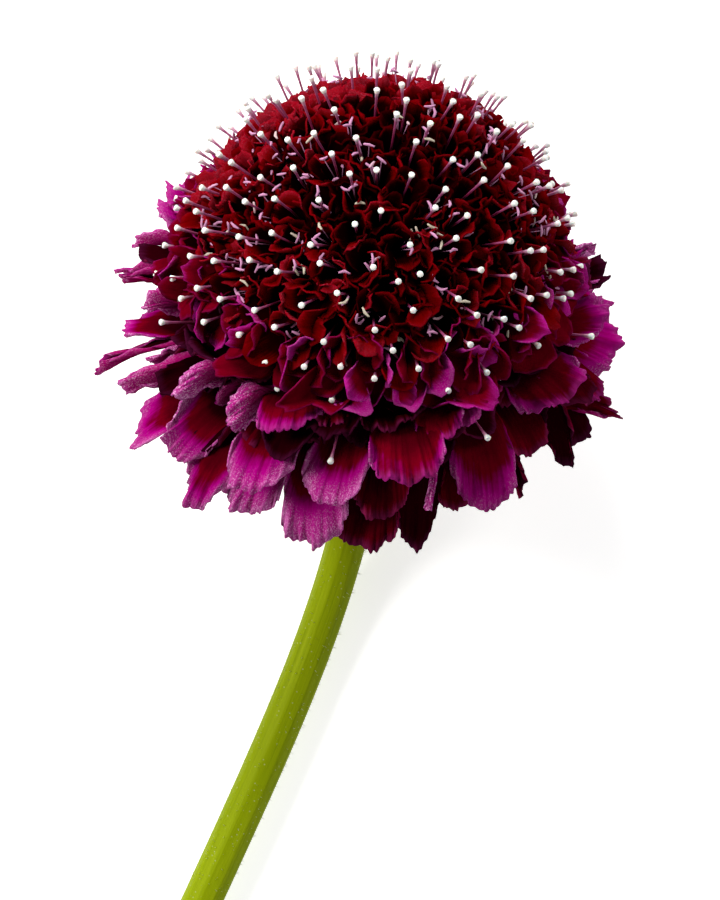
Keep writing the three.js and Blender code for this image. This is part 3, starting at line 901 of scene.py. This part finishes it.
def skirt_skins(shades):
    """The upper side and the underside of the large petals."""
    # Near black to 0.38 and dark to 0.52: partly the petals' own dark base, partly painted shade in the gaps
    # where the bases lie under other petals
    palette = (
        (0.0, shades.throat),
        (0.38, blended(shades.throat, shades.crimson, 0.1)),
        (0.52, blended(shades.throat, shades.crimson, 0.5)),
        (0.64, shades.crimson),
        (0.77, shades.magenta),
        (0.93, blended(shades.magenta, shades.lilac, 0.12)),
        (1.0, blended(shades.magenta, shades.lilac, 0.55)),
    )
    palette_below = (
        (0.0, (0.04, 0.0, 0.004)),
        (0.4, (0.13, 0.0005, 0.02)),
        (0.65, (0.27, 0.002, 0.10)),
        (0.85, (0.34, 0.012, 0.18)),
        (1.0, (0.42, 0.08, 0.28)),
    )
    edge = blended(shades.magenta, shades.lilac, 0.35)
    look = {"shift": 0.42, "margin": 0.09, "rim_share": 0.5, "sides": 0.28, "fading": 0.75}
    look_below = {"margin": 0.04, "rim_share": 0.6, "glints": 0.5}
    return [
        petal_material("Large petal", palette, edge, 0.6, **look),
        petal_material("Large petal underside", palette_below, shades.lilac, 1.0, **look_below),
    ]


class SCABIOSA_OT_skirt(bpy.types.Operator):
    """Build the large petals of the skirt"""

    bl_idname = "scabiosa.skirt"
    bl_label = "Skirt petals"

    def execute(self, context):
        petals = large_petals(large_florets())
        place = large_petal_point(context.scene.scabiosa_sizes.ruffle / MM)
        skins = skirt_skins(context.scene.scabiosa_colours)
        for name, kind, grid in (
            ("skirt_petals", "showy", (62, 13)),
            ("skirt_under_petals", "under", (32, 9)),
            ("skirt_back_petals", "back", (48, 12)),
        ):
            own = [petal for petal in petals if petal["kind"] == kind]
            petal_piece(name, ["large_florets"], grid, own, place, skins, PETAL_WALL["large"])
        return {"FINISHED"}


def ray_tube_point(floret, corner):
    """A large floret's tube, from the receptacle to its throat, widening on the way."""
    share = corner.z + 0.5
    along = mix(-TUBE_INWARD, RAY_TUBE + TUBE_OVERLAP, share)
    if along < 0:
        inner = floret["root"] * 0.88 - 1.25
        radius, height = RAY_ROOT + along, mix(floret["root"], inner, -along / TUBE_INWARD)
    else:
        radius, height = arched(floret, along)
    width = mix(*TUBE_WIDTH, share**2.2)
    around = floret["azimuth"] + corner.x * width / max(radius, 1)
    height = bent_by_dome(radius, height + corner.y * width * TUBE_FLATNESS)
    return bent_by_floor(head_point(radius, around, height))


class SCABIOSA_OT_tubes(bpy.types.Operator):
    """Build the tubes of the large florets, which show from below"""

    bl_idname = "scabiosa.tubes"
    bl_label = "Skirt tubes"

    def execute(self, context):
        bm = bmesh.new()
        florets = large_florets()
        between = [dict(floret, azimuth=floret["azimuth"] + math.pi / len(florets)) for floret in florets]
        tube = template(lambda made: add_cut_tube(made, 10, 7))
        repeat(bm, tube, florets + between, ray_tube_point, along=lambda floret, corner: corner.z + 0.5)
        material, tree, shader = new_material("Skirt tube")
        stops = ((0.0, (0.07, 0.06, 0.02)), (0.45, (0.12, 0.035, 0.03)), (0.95, (0.13, 0.004, 0.03)))
        connect(shader, {"Base Color": ramp(attribute(tree, "along"), stops), "Roughness": 0.6})
        finished(bm, "skirt_tubes", ["large_florets"], [material])
        return {"FINISHED"}


# ---------------------------------------------------------------- the dome of small florets


def small_florets(count):
    """Where each small floret stands: a spiral that keeps them evenly spaced."""
    draw = seeded_draw("small florets")
    florets = []
    for i in range(count):
        share = (i + 0.5) / count
        polar = math.acos(1 - (1 - math.cos(math.radians(DOME_EDGE))) * share)
        azimuth = math.radians(i * GOLDEN_ANGLE)
        flat = math.sin(polar)
        out = in_head(flat * math.cos(azimuth), flat * math.sin(azimuth), math.cos(polar), start=Vector())
        sideways = DOWN * math.cos(azimuth) - LEVEL * math.sin(azimuth)
        florets.append(
            {
                "edge": polar / math.radians(DOME_EDGE),
                "azimuth": azimuth,
                "out": out,
                "away": sideways.cross(out),
                "sideways": sideways,
                "spin": math.tau * draw(),
                "jitter": (swing(draw, 0.5), swing(draw, 0.5)),
                "tone": draw(),
                "tip": mix(*STIGMA_HEIGHT, draw()),
                "lean": (swing(draw, 2.1), swing(draw, 2.1)),
                "ripe": draw(),
            }
        )
    return florets


def floret_point(floret, x, y, height):
    """A point from its offsets away from the dome's top and sideways, and its height over the centre."""
    x += floret["jitter"][0]
    y += floret["jitter"][1]
    away = floret["out"] * height + floret["away"] * x + floret["sideways"] * y
    return HEAD_CENTRE + away - LEVEL * (DOME_FLATNESS * max(away.dot(LEVEL), 0) ** 2)


def small_lobes(florets, length_top, length_edge):
    """The lobes of the small florets: larger towards the dome's edge, above all those that face the skirt."""
    draw = seeded_draw("small lobes")
    lobes = []
    for floret in florets:
        edge, azimuth = floret["edge"], floret["azimuth"]
        ring = edge > DOME_RING
        # far grows towards the dome's edge on its far side, uppermost in the view: the lobes there are
        # painted paler and their tone raised, as painted light
        far = edge * max(math.cos(azimuth - math.radians(PAINTED_LIGHT_SIDE)), 0)
        facing = (1 + math.cos(azimuth - math.radians(RING_LONGEST))) / 2
        outer = max(edge - 0.7, 0) / 0.3
        for k in range(5):
            turn = floret["spin"] + (k + swing(draw, 0.3)) * math.tau / 5
            outward = math.cos(turn)
            hanging = outer * max(outward, 0)
            growth = max(outer * (0.6 + 0.4 * outward) * mix(0.3, 1, facing), 0.85 * hanging)
            shortest = 0.86 - 0.2 * min(growth, 1)
            lobe = {
                "floret": floret,
                "ring": ring,
                "teeth": TEETH["ring" if ring else "dome"],
                "point": 0.1,
                "turn": turn,
                "length": mix(length_top, length_edge, growth) * mix(shortest, 1.1, draw()),
                "width": mix(1.25, 1.85, draw()) * (1 + 0.7 * growth),
                "end": mix(LOBE_LEAN + 50 * hanging, mix(62, 86, edge), draw()) + 12 * edge**4 * outward,
                "twist": mix(-0.8, 0.8, draw()),
                "curl": mix(-0.1, 0.7, draw()) * (1 - 0.75 * edge**6),
                **margin_chances(draw),
                "bend": 0.9 * growth * math.cos(5 * turn),
                "tone": mix(0.2, 0.8, draw()) + 0.8 * far,
            }
            if ring:
                lobe["pale"] = mix(0.62, 0.98, draw() ** 1.8)
            else:
                # The pale rises towards the dome's edge, so the centre is painted darker as painted shade,
                # and it rises more on the far side as painted light
                lobe["pale"] = mix(0.26, 0.72, draw()) + 0.36 * (edge + 3.0 * far)
            lobes.append(lobe)
    return lobes


def lobe_lean(lobe, share):
    """How far a small lobe's middle line leans from its floret's axis at a share of its length."""
    return math.radians(mix(LOBE_LEAN, lobe["end"], share**1.4))


def small_lobe_point(lobe, corner):
    side, v = -2 * corner.x, corner.y + 0.5
    across, along, around, margin = blade(lobe, side, v)
    across, lift = rolled(across, lobe["curl"] * v, lobe["twist"] * v)
    lift += 0.26 * margin * math.sin(lobe["ruffles"] * around + lobe["phase"]) + lobe["bend"] * v**3
    radius, height = LOBE_ROOT
    steps = 6
    for i in range(steps):
        lean = lobe_lean(lobe, (i + 0.5) / steps * along / lobe["length"])
        radius += math.sin(lean) * along / steps
        height += math.cos(lean) * along / steps
    lean = lobe_lean(lobe, along / lobe["length"])
    x, y = turned(radius - math.cos(lean) * lift, across, lobe["turn"])
    return bent_by_skirt(floret_point(lobe["floret"], x, y, height + math.sin(lean) * lift))


def dome_skins(shades):
    """The upper side and the underside of the dome's lobes: deep red, and nearly black at the base, which is
    painted shade down in the florets.
    """
    # Near black up to 0.52 of the palette, and on the underside up to 0.35: painted shade deep in the florets
    dark = (0.007, 0.0, 0.0)
    tip = blended(shades.floret, shades.floret_rim, 0.5)
    palette = (
        (0.0, (0.002, 0.0, 0.0)),
        (0.52, dark),
        (0.68, blended(dark, shades.floret, 0.62)),
        (0.82, shades.floret),
        (1.0, tip),
    )
    palette_below = ((0.0, (0.006, 0.0, 0.0)), (0.35, (0.03, 0.0, 0.0)), (0.7, shades.floret), (1.0, tip))
    look = {"shift": 0.5, "margin": 0.12, "rim_share": 0.3}
    return [
        petal_material("Small petal", palette, shades.floret_rim, 0.05, **look),
        petal_material("Small petal underside", palette_below, shades.floret_rim, 0.1, **look),
    ]


def ring_skins(shades):
    """The upper side and the underside of the lobes at the dome's edge: crimson, some with magenta ends."""
    palette = (
        (0.0, shades.throat),
        (0.24, blended(shades.throat, shades.crimson, 0.2)),
        (0.46, blended(shades.throat, shades.crimson, 0.85)),
        (0.72, shades.crimson),
        (0.92, shades.magenta),
        (1.0, blended(shades.magenta, shades.lilac, 0.15)),
    )
    palette_below = (
        (0.0, (0.02, 0.0, 0.001)),
        (0.35, (0.09, 0.0, 0.004)),
        (0.7, shades.crimson),
        (1.0, blended(shades.crimson, shades.magenta, 0.7)),
    )
    edge = blended(shades.magenta, shades.lilac, 0.1)
    return [
        petal_material("Ring petal", palette, edge, 0.15, shift=0.25, margin=0.06, rim_share=0.3, sides=0.1),
        petal_material("Ring petal underside", palette_below, edge, 0.3, rim_share=0.3),
    ]


class SCABIOSA_OT_dome(bpy.types.Operator):
    """Build the lobes of the dome's small florets"""

    bl_idname = "scabiosa.dome"
    bl_label = "Dome florets"

    def execute(self, context):
        sizes, shades = context.scene.scabiosa_sizes, context.scene.scabiosa_colours
        florets = small_florets(sizes.small_florets)
        lobes = small_lobes(florets, sizes.small_length_top / MM, sizes.small_length_edge / MM)
        for name, ring, grid, skins in (
            ("dome_petals", False, (8, 4), dome_skins(shades)),
            ("ring_petals", True, (10, 6), ring_skins(shades)),
        ):
            own = [lobe for lobe in lobes if lobe["ring"] == ring]
            wall = PETAL_WALL["small"]
            petal_piece(name, ["small_florets"], grid, own, small_lobe_point, skins, wall)
        return {"FINISHED"}


class SCABIOSA_OT_core(bpy.types.Operator):
    """Build the crowded tubes under the dome's florets"""

    bl_idname = "scabiosa.core"
    bl_label = "Dome core"

    def execute(self, context):
        bm = bmesh.new()
        bmesh.ops.create_icosphere(bm, subdivisions=5, radius=CORE_RADIUS)
        for vert in bm.verts:
            direction = vert.co.normalized()
            knobs = math.prod(math.sin(CORE_KNOB_WAVES * part) for part in direction)
            point = direction * (CORE_RADIUS + CORE_KNOBS * knobs)
            lowest = underside_height(math.hypot(point.x, point.y)) + CORE_LIFT
            vert.co = in_head(point.x, point.y, max(point.z, lowest))
        material, tree, shader = new_material("Floret tubes")
        tubes = cells(object_place(tree), 900.0)
        surface = {
            "Base Color": ramp(tubes, ((0.1, (0.05, 0.0005, 0.004)), (0.7, (0.008, 0.0, 0.001)))),
            "Normal": raised(tubes, 0.8, 0.0006, invert=True),
            "Roughness": 0.8,
            "Specular IOR Level": 0.05,
        }
        connect(shader, surface)
        finished(bm, "dome_core", ["small_florets"], [material])
        return {"FINISHED"}


# ---------------------------------------------------------------- pins and stamens


def dome_pins(florets):
    return [
        {
            "base": floret_point(floret, 0, 0, THROAT_HEIGHT),
            "tip": floret_point(floret, *floret["lean"], floret["tip"]),
            "tone": floret["tone"],
        }
        for floret in florets
    ]


def skirt_pins():
    """Some of the large florets have a pin too, which leans out over the skirt."""
    draw = seeded_draw("skirt pins")
    pins = []

    def add_pin(azimuth, root, tip, tone):
        base = head_point(RAY_ROOT + 1.5, azimuth, root + 0.4)
        pins.append({"base": base, "tip": tip, "tone": tone})

    for degrees, radius, height in SHOWY_PINS:
        azimuth = math.radians(degrees)
        add_pin(azimuth, RAY_ROWS[0]["root"], head_point(radius, azimuth, height), draw())
    for floret in large_florets():
        turn, reach, height, tone, kept = (draw() for _ in range(5))
        azimuth = floret["azimuth"]
        if in_lowest_row(floret) or kept < 0.2 or in_showy_sector(azimuth):
            continue
        radius, rise = arched(floret, floret["length"] * mix(0.58, 0.8, reach))
        rise = bent_by_dome(radius, rise) + mix(2.2, 3.8, height)
        add_pin(azimuth, floret["root"], head_point(radius, azimuth + 0.2 * (turn - 0.5), rise), tone)
    return pins


def pin_point(stigma_radius):
    """A function that places a corner of a pin whose head has a radius."""

    def place(pin, corner):
        base, tip = pin["base"], pin["tip"]
        along = tip - base
        # a long pin has no longer head than a short one
        head = PIN_LENGTH / along.length
        if corner.z > PIN_NECK:
            share = 1 - (1 - corner.z) * head
        else:
            share = corner.z / PIN_NECK * (1 - (1 - PIN_NECK) * head)
        along.normalize()
        side = along.orthogonal().normalized()
        bow = PIN_BOW * (pin["tone"] - 0.5) * math.sin(math.pi * corner.z)
        across = side * (corner.x * stigma_radius + bow) + along.cross(side) * (corner.y * stigma_radius)
        return base.lerp(tip, share) + across

    return place


def stamens(florets):
    """Where the anthers stand: up to four over each floret that is ripe enough."""
    draw = seeded_draw("stamens")
    anthers = []
    for floret in florets:
        for _ in range(4):
            turn, distance, height, spin, tilt, bow, hue = (draw() for _ in range(7))
            if floret["ripe"] < 0.4 or hue < 0.25:
                continue
            anthers.append(
                {
                    "floret": floret,
                    "x": mix(*ANTHER_DISTANCE, distance) * math.cos(math.tau * turn),
                    "y": mix(*ANTHER_DISTANCE, distance) * math.sin(math.tau * turn),
                    "height": mix(*ANTHER_HEIGHT, height),
                    "spin": math.pi * spin,
                    "tilt": 1.3 * (tilt - 0.5),
                    "bow": 0.7 * (bow - 0.5),
                    "tone": hue + 0.25 * floret["edge"] * max(-math.sin(floret["azimuth"]), 0),
                }
            )
    return anthers


def anther_point(anther, corner):
    long, wide, high = ANTHER_SIZE
    bow = anther["bow"] * (corner.x**2 - 0.4)
    turn = Matrix.Rotation(anther["spin"], 3, "Z") @ Matrix.Rotation(anther["tilt"], 3, "Y")
    local = turn @ Vector((corner.x * long, corner.y * wide + bow, corner.z * high))
    x, y, height = anther["x"] + local.x, anther["y"] + local.y, anther["height"] + local.z
    return floret_point(anther["floret"], x, y, height)


def filament_point(anther, corner):
    share = corner.z + 0.5
    x = corner.x + anther["x"] * share**1.5
    y = corner.y + anther["y"] * share**1.5
    return floret_point(anther["floret"], x, y, mix(THROAT_HEIGHT, anther["height"], share))


def pin_skin(shades):
    """Red at the stalk's base, white at the head, and slightly see-through."""
    material, tree, shader = new_material("Pin")
    stops = (
        (0.5, shades.style),
        (0.82, (0.27, 0.05, 0.14)),
        (0.90, (0.48, 0.24, 0.34)),
        (0.95, shades.stigma),
    )
    surface = {
        "Base Color": ramp(attribute(tree, "along"), stops),
        "Roughness": 0.42,
        "Subsurface Weight": 0.2,
        "Subsurface Scale": 0.0004,
    }
    connect(shader, surface)
    return material


def stamen_skin(shades):
    """From dark to pale by the anther's tone, with a dust of pollen."""
    material, tree, shader = new_material("Stamen")
    stops = (
        (0.3, (0.26, 0.07, 0.17)),
        (0.6, shades.anther),
        (0.88, shades.anther),
        (0.95, (0.44, 0.40, 0.28)),
    )
    dust = noise(object_place(tree), 5000.0) * 0.2
    skin = covered(dust, ramp(attribute(tree, "tone"), stops), (0.70, 0.52, 0.62))
    connect(shader, {"Base Color": skin, "Roughness": 0.7})
    return material


class SCABIOSA_OT_pins(bpy.types.Operator):
    """Build the styles with their white stigmas, and the stamens"""

    bl_idname = "scabiosa.pins"
    bl_label = "Pins and stamens"

    def execute(self, context):
        sizes, shades = context.scene.scabiosa_sizes, context.scene.scabiosa_colours
        florets = small_florets(sizes.small_florets)

        bm = bmesh.new()
        pin = template(lambda made: add_spun(made, PIN_SECTION, 8))
        place = pin_point(sizes.stigma_radius / MM)
        repeat(bm, pin, dome_pins(florets) + skirt_pins(), place, along=lambda pin, corner: corner.z)
        finished(bm, "pins", ["small_florets"], [pin_skin(shades)])

        bm = bmesh.new()
        anthers = stamens(florets)
        bead = template(lambda made: bmesh.ops.create_uvsphere(made, u_segments=6, v_segments=8, radius=1))
        repeat(bm, bead, anthers, anther_point, kept=["tone"])
        repeat(bm, cone_template(4, 0.07, 0.05), anthers, filament_point, tone=lambda anther, corner: 0.4)
        finished(bm, "stamens", ["small_florets"], [stamen_skin(shades)])
        return {"FINISHED"}


# ---------------------------------------------------------------- involucre and stem


def bracts():
    draw = seeded_draw("bracts")
    made = []
    for row in BRACT_ROWS:
        for i in range(row["count"]):
            azimuth = math.radians(row["offset"] + 360 / row["count"] * i)
            made.append({**row, "azimuth": azimuth, "twist": swing(draw, 0.5), "tone": draw()})
    return made


def bract_point(bract, corner):
    side, v = -2 * corner.x, corner.y + 0.5
    across = side * (BRACT_WIDTH / 2) * (0.6 + 0.9 * v) * math.sqrt(max(1.0 - v**2.2, 0)) * 0.98
    radius, height = arched(bract, bract["length"] * v, start=BRACT_ROOT)
    lift = BRACT_KEEL * abs(side) ** 1.4 * math.sqrt(v) + bract["twist"] * across * v
    return head_point(radius, bract["azimuth"] + across / radius, height + lift)


def bract_skin(shades):
    """Green, darker between its streaks, with a pale midrib and a soft down."""
    material, tree, shader = new_material("Bract")
    scales = {"Streak Scale": 9.0, "Grain Scale": 2600.0}
    across, _, streaks, grain, _ = values_of(tree, "ShaderNodeGroup", scales, node_tree=petal_pattern())
    stops = ((0.3, tinted(shades.bract, 0.6, 0.65, 0.6)), (0.7, tinted(shades.bract, 1.5, 1.35, 1.6)))
    midrib = step(abs(across - 0.5), 0.09, 0.02, kind="LINEAR")
    surface = {
        "Base Color": covered(midrib, ramp(streaks, stops), (0.34, 0.42, 0.13)),
        "Normal": raised(grain, 0.5, 0.0001),
        "Roughness": 0.6,
        "Sheen Weight": 0.35,
    }
    connect(shader, surface)
    return material


class SCABIOSA_OT_involucre(bpy.types.Operator):
    """Build the green bracts under the head"""

    bl_idname = "scabiosa.involucre"
    bl_label = "Involucre"

    def execute(self, context):
        skin = bract_skin(context.scene.scabiosa_colours)
        bm = bmesh.new()
        repeat(bm, grid_template(8, 14), bracts(), bract_point, kept=["tone"])
        finished(bm, "bracts", ["involucre"], [skin], thickness=PETAL_WALL["bract"])

        bm = bmesh.new()
        bm.loops.layers.uv.new("UVMap")
        add_spun(bm, COLLAR_SECTION, 48, ring=True)
        for vert in bm.verts:
            vert.co = in_head(*vert.co)
        finished(bm, "bract_collar", ["involucre"], [skin])
        return {"FINISHED"}


def stem_line(rest):
    """The stem's middle line, from inside the receptacle to the cut end, as points a millimetre apart."""
    at = head_point(0, 0, RECEPTACLE_HEIGHT - STEM_START)
    bend_start = math.acos(1 - (at.z - rest) / STEM_BEND_RADIUS)
    step_length = STEM_LENGTH / STEM_STEPS
    points = [at.copy()]
    for i in range(STEM_STEPS):
        run = (i + 0.5) * step_length
        fall = max(bend_start - run / STEM_BEND_RADIUS, 0)
        turn = math.radians(mix(STEM_TURN_FAR, STEM_TURN_NEAR, math.exp(-((run / STEM_TURN_LENGTH) ** 2))))
        ahead = Vector((math.sin(turn) * math.cos(fall), math.cos(turn) * math.cos(fall), math.sin(fall)))
        at = at - ahead * step_length
        points.append(at.copy())
    return points


def stem_frame(points, share):
    """The middle of the stem at a share of its length, and the two directions across it."""
    place = max(0.0, min(share, 1.0)) * (len(points) - 1)
    i = min(int(place), len(points) - 2)
    middle = points[i].lerp(points[i + 1], place - i)
    ahead = (points[min(i + 2, len(points) - 1)] - points[max(i - 1, 0)]).normalized()
    level = ahead.cross(Vector((0, 0, 1))).normalized()
    return middle, level, level.cross(ahead)


def stem_surface(radius):
    """A function that gives the stem's middle and a point of its ribbed skin, or one a little further out."""
    points = stem_line(radius - STEM_SINK)

    def place(turn, share, out=0.0):
        middle, level, up = stem_frame(points, share)
        wide = radius + STEM_SWELL * math.exp(-share * STEM_LENGTH / STEM_SWELL_LENGTH) + out
        wide *= 1 - STEM_RIB_DEPTH * (1 - math.cos(STEM_RIBS * turn))
        point = middle + level * (wide * math.cos(turn)) + up * (wide * math.sin(turn))
        point.z = max(point.z, STEM_LOWEST)
        return middle, point

    return place


def stem_skin(shades):
    """Yellow-green, with long pale and dark streaks, fine specks and a soft waxy shine."""
    material, tree, shader = new_material("Stem")
    place = attribute(tree, "straight", output="Vector")
    stretched = value_of(tree, "ShaderNodeMapping", {"Vector": place, "Scale": (1.6, 1.6, 0.035)})
    streaks = noise(stretched, 2.0, 4.0, 0.6)
    stops = (
        (0.25, tinted(shades.stem, 0.76, 0.8, 0.6)),
        (0.5, shades.stem),
        (0.72, tinted(shades.stem, 1.16, 1.13, 4.0)),
    )
    dots = step(cells(place, 1.5), 0.16, 0.07, kind="LINEAR")
    surface = {
        "Base Color": covered(dots * 0.45, ramp(streaks, stops), (0.50, 0.55, 0.26)),
        "Normal": raised(streaks + dots * 0.3, 0.5, 0.00015),
        "Roughness": 0.5,
        "Specular IOR Level": 0.03,
    }
    connect(shader, surface)
    return material


def make_stem(radius, surface, shades):
    """The stem's ribbed skin and its cut end, with the pith in the middle."""
    bm = bmesh.new()
    add_cut_tube(bm, STEM_SIDES, STEM_STEPS - 1)
    cut_end = [face for face in bm.faces if len(face.verts) > 4 and face.calc_center_median().z > 0.4]
    for width in STEM_END_RINGS:
        bmesh.ops.inset_region(bm, faces=cut_end, thickness=width, use_even_offset=True)
    for face in cut_end:
        face.material_index = 1
    straight = bm.verts.layers.float_vector.new("straight")
    for vert in bm.verts:
        x, y, share = vert.co.x, vert.co.y, vert.co.z + 0.5
        vert[straight] = Vector((x * radius, y * radius, share * STEM_LENGTH))
        middle, rim = surface(math.atan2(y, x), share)
        vert.co = middle.lerp(rim, math.hypot(x, y))
    stops = ((0.3, (0.34, 0.40, 0.16)), (0.7, (0.62, 0.66, 0.40)))
    pith = spotted_material("Stem pith", lambda place: noise(place, 4200.0), stops, {"Roughness": 0.5})
    finished(bm, "stem_skin", ["stem"], [stem_skin(shades), pith])


def make_receptacle():
    bm = bmesh.new()
    bmesh.ops.create_uvsphere(bm, u_segments=40, v_segments=20, radius=RECEPTACLE_RADIUS)
    for vert in bm.verts:
        vert.co = in_head(*vert.co, start=head_point(0, 0, RECEPTACLE_HEIGHT))
    stops = ((0.1, (0.07, 0.045, 0.015)), (0.6, (0.025, 0.012, 0.004)))
    surface = {"Roughness": 0.8, "Specular IOR Level": 0.1}
    scarred = spotted_material("Receptacle", lambda place: cells(place, 1400.0), stops, surface)
    finished(bm, "receptacle", ["stem"], [scarred])


def make_hairs(count, radius, surface):
    """Short hairs all over the stem, each a thin cone that leans."""
    draw = seeded_draw("hairs")
    hairs = [
        {"turn": math.tau * draw(), "share": draw(), "long": mix(*HAIR_LENGTH, draw()), "sweep": draw() - 0.5}
        for _ in range(count)
    ]

    def hair_point(hair, corner):
        rise = corner.z + 0.5
        turn = hair["turn"] + corner.x / radius + 0.1 * hair["sweep"] * rise
        share = hair["share"] + (corner.y + hair["sweep"] * 0.3 * rise) / STEM_LENGTH
        return surface(turn, share, hair["long"] * rise + HAIR_ROOT)[1]

    bm = bmesh.new()
    repeat(bm, cone_template(3, 0.035, 0.008), hairs, hair_point)
    stops = ((0.3, (0.36, 0.42, 0.08)), (0.7, (0.60, 0.64, 0.34)))
    pale = spotted_material("Stem hair", lambda place: noise(place, 900.0, 1.0), stops, {"Roughness": 0.4})
    finished(bm, "stem_hairs", ["stem"], [pale])


class SCABIOSA_OT_stem(bpy.types.Operator):
    """Build the stem with its cut end, the receptacle and the hairs"""

    bl_idname = "scabiosa.stem"
    bl_label = "Stem"

    def execute(self, context):
        sizes = context.scene.scabiosa_sizes
        radius = sizes.stem_radius / MM
        surface = stem_surface(radius)
        make_stem(radius, surface, context.scene.scabiosa_colours)
        make_receptacle()
        make_hairs(sizes.stem_hairs, radius, surface)
        return {"FINISHED"}


# ---------------------------------------------------------------- the stage


def add_floor(shades):
    bm = bmesh.new()
    bmesh.ops.create_grid(bm, x_segments=1, y_segments=1, size=FLOOR_HALF * MM)
    mesh = bpy.data.meshes.new("floor")
    bm.to_mesh(mesh)
    bm.free()
    stops = ((0.3, shades.floor), (0.7, tinted(shades.floor, 0.99, 0.99, 0.99)))
    surface = {
        "Roughness": 0.9,
        "Specular IOR Level": 0.1,
        "Emission Color": (1, 1, 1, 1),
        "Emission Strength": 0.6,
    }
    mesh.materials.append(spotted_material("Floor", lambda place: noise(place, 9.0), stops, surface))
    floor = bpy.data.objects.new("floor", mesh)
    bpy.context.scene.collection.objects.link(floor)


def add_light(name, offset, size, power, colour):
    """A round light that looks at the head."""
    data = bpy.data.lights.new(name, "AREA")
    data.shape = "DISK"
    data.size, data.energy, data.color = size * MM, power, colour
    light = bpy.data.objects.new(name, data)
    light.location = (HEAD_CENTRE + Vector(offset)) * MM
    light.rotation_euler = (-Vector(offset)).to_track_quat("-Z", "Y").to_euler()
    bpy.context.scene.collection.objects.link(light)


def add_world():
    """A white surrounding that the camera sees brighter than it shines."""
    world = bpy.data.worlds.new("studio")
    world.use_nodes = True
    seen = value_of(world.node_tree, "ShaderNodeLightPath", output="Is Camera Ray")
    strength = seen * (WORLD_SEEN - WORLD_LIGHT) + WORLD_LIGHT
    connect(world.node_tree.nodes["Background"], {"Strength": strength, "Color": (1, 1, 1, 1)})
    bpy.context.scene.world = world


def add_camera():
    data = bpy.data.cameras.new("camera")
    data.sensor_width = SENSOR
    data.lens = SENSOR / 2 / CAMERA_HALF_HEIGHT * CAMERA_OFFSET[2]
    data.clip_start, data.clip_end = 0.01, 20
    camera = bpy.data.objects.new("camera", data)
    camera.location = (HEAD_CENTRE + Vector(CAMERA_OFFSET)) * MM
    bpy.context.scene.collection.objects.link(camera)
    bpy.context.scene.camera = camera


class SCABIOSA_OT_stage(bpy.types.Operator):
    """Set the pale floor, the soft lights and the camera"""

    bl_idname = "scabiosa.stage"
    bl_label = "Stage"

    def execute(self, context):
        add_floor(context.scene.scabiosa_colours)
        for light in LIGHTS:
            add_light(*light)
        add_world()
        add_camera()
        context.scene.view_settings.view_transform = "Standard"
        return {"FINISHED"}


class SCABIOSA_PT_panel(bpy.types.Panel):
    """The flower's sizes, colours and pieces"""

    bl_idname = "SCABIOSA_PT_panel"
    bl_label = "Scabiosa"
    bl_space_type = "VIEW_3D"
    bl_region_type = "UI"
    bl_category = "Scabiosa"

    def draw(self, context):
        for group in (context.scene.scabiosa_sizes, context.scene.scabiosa_colours):
            box = self.layout.box()
            for name in group.bl_rna.properties.keys():
                if name not in ("rna_type", "name"):
                    box.prop(group, name)
        for operator in OPERATORS:
            self.layout.operator(operator.bl_idname)


OPERATORS = (
    SCABIOSA_OT_skirt,
    SCABIOSA_OT_tubes,
    SCABIOSA_OT_dome,
    SCABIOSA_OT_core,
    SCABIOSA_OT_pins,
    SCABIOSA_OT_involucre,
    SCABIOSA_OT_stem,
    SCABIOSA_OT_stage,
)
CLASSES = (ScabiosaSizes, ScabiosaColours, *OPERATORS, SCABIOSA_PT_panel)


def register():
    for cls in CLASSES:
        bpy.utils.register_class(cls)
    bpy.types.Scene.scabiosa_sizes = bpy.props.PointerProperty(type=ScabiosaSizes)
    bpy.types.Scene.scabiosa_colours = bpy.props.PointerProperty(type=ScabiosaColours)


def unregister():
    del bpy.types.Scene.scabiosa_colours
    del bpy.types.Scene.scabiosa_sizes
    for cls in reversed(CLASSES):
        bpy.utils.unregister_class(cls)


def main():
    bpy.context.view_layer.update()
    register()
    bpy.ops.scabiosa.skirt()
    bpy.ops.scabiosa.tubes()
    bpy.ops.scabiosa.dome()
    bpy.ops.scabiosa.core()
    bpy.ops.scabiosa.pins()
    bpy.ops.scabiosa.involucre()
    bpy.ops.scabiosa.stem()
    bpy.ops.scabiosa.stage()


if __name__ == "__main__":
    main()
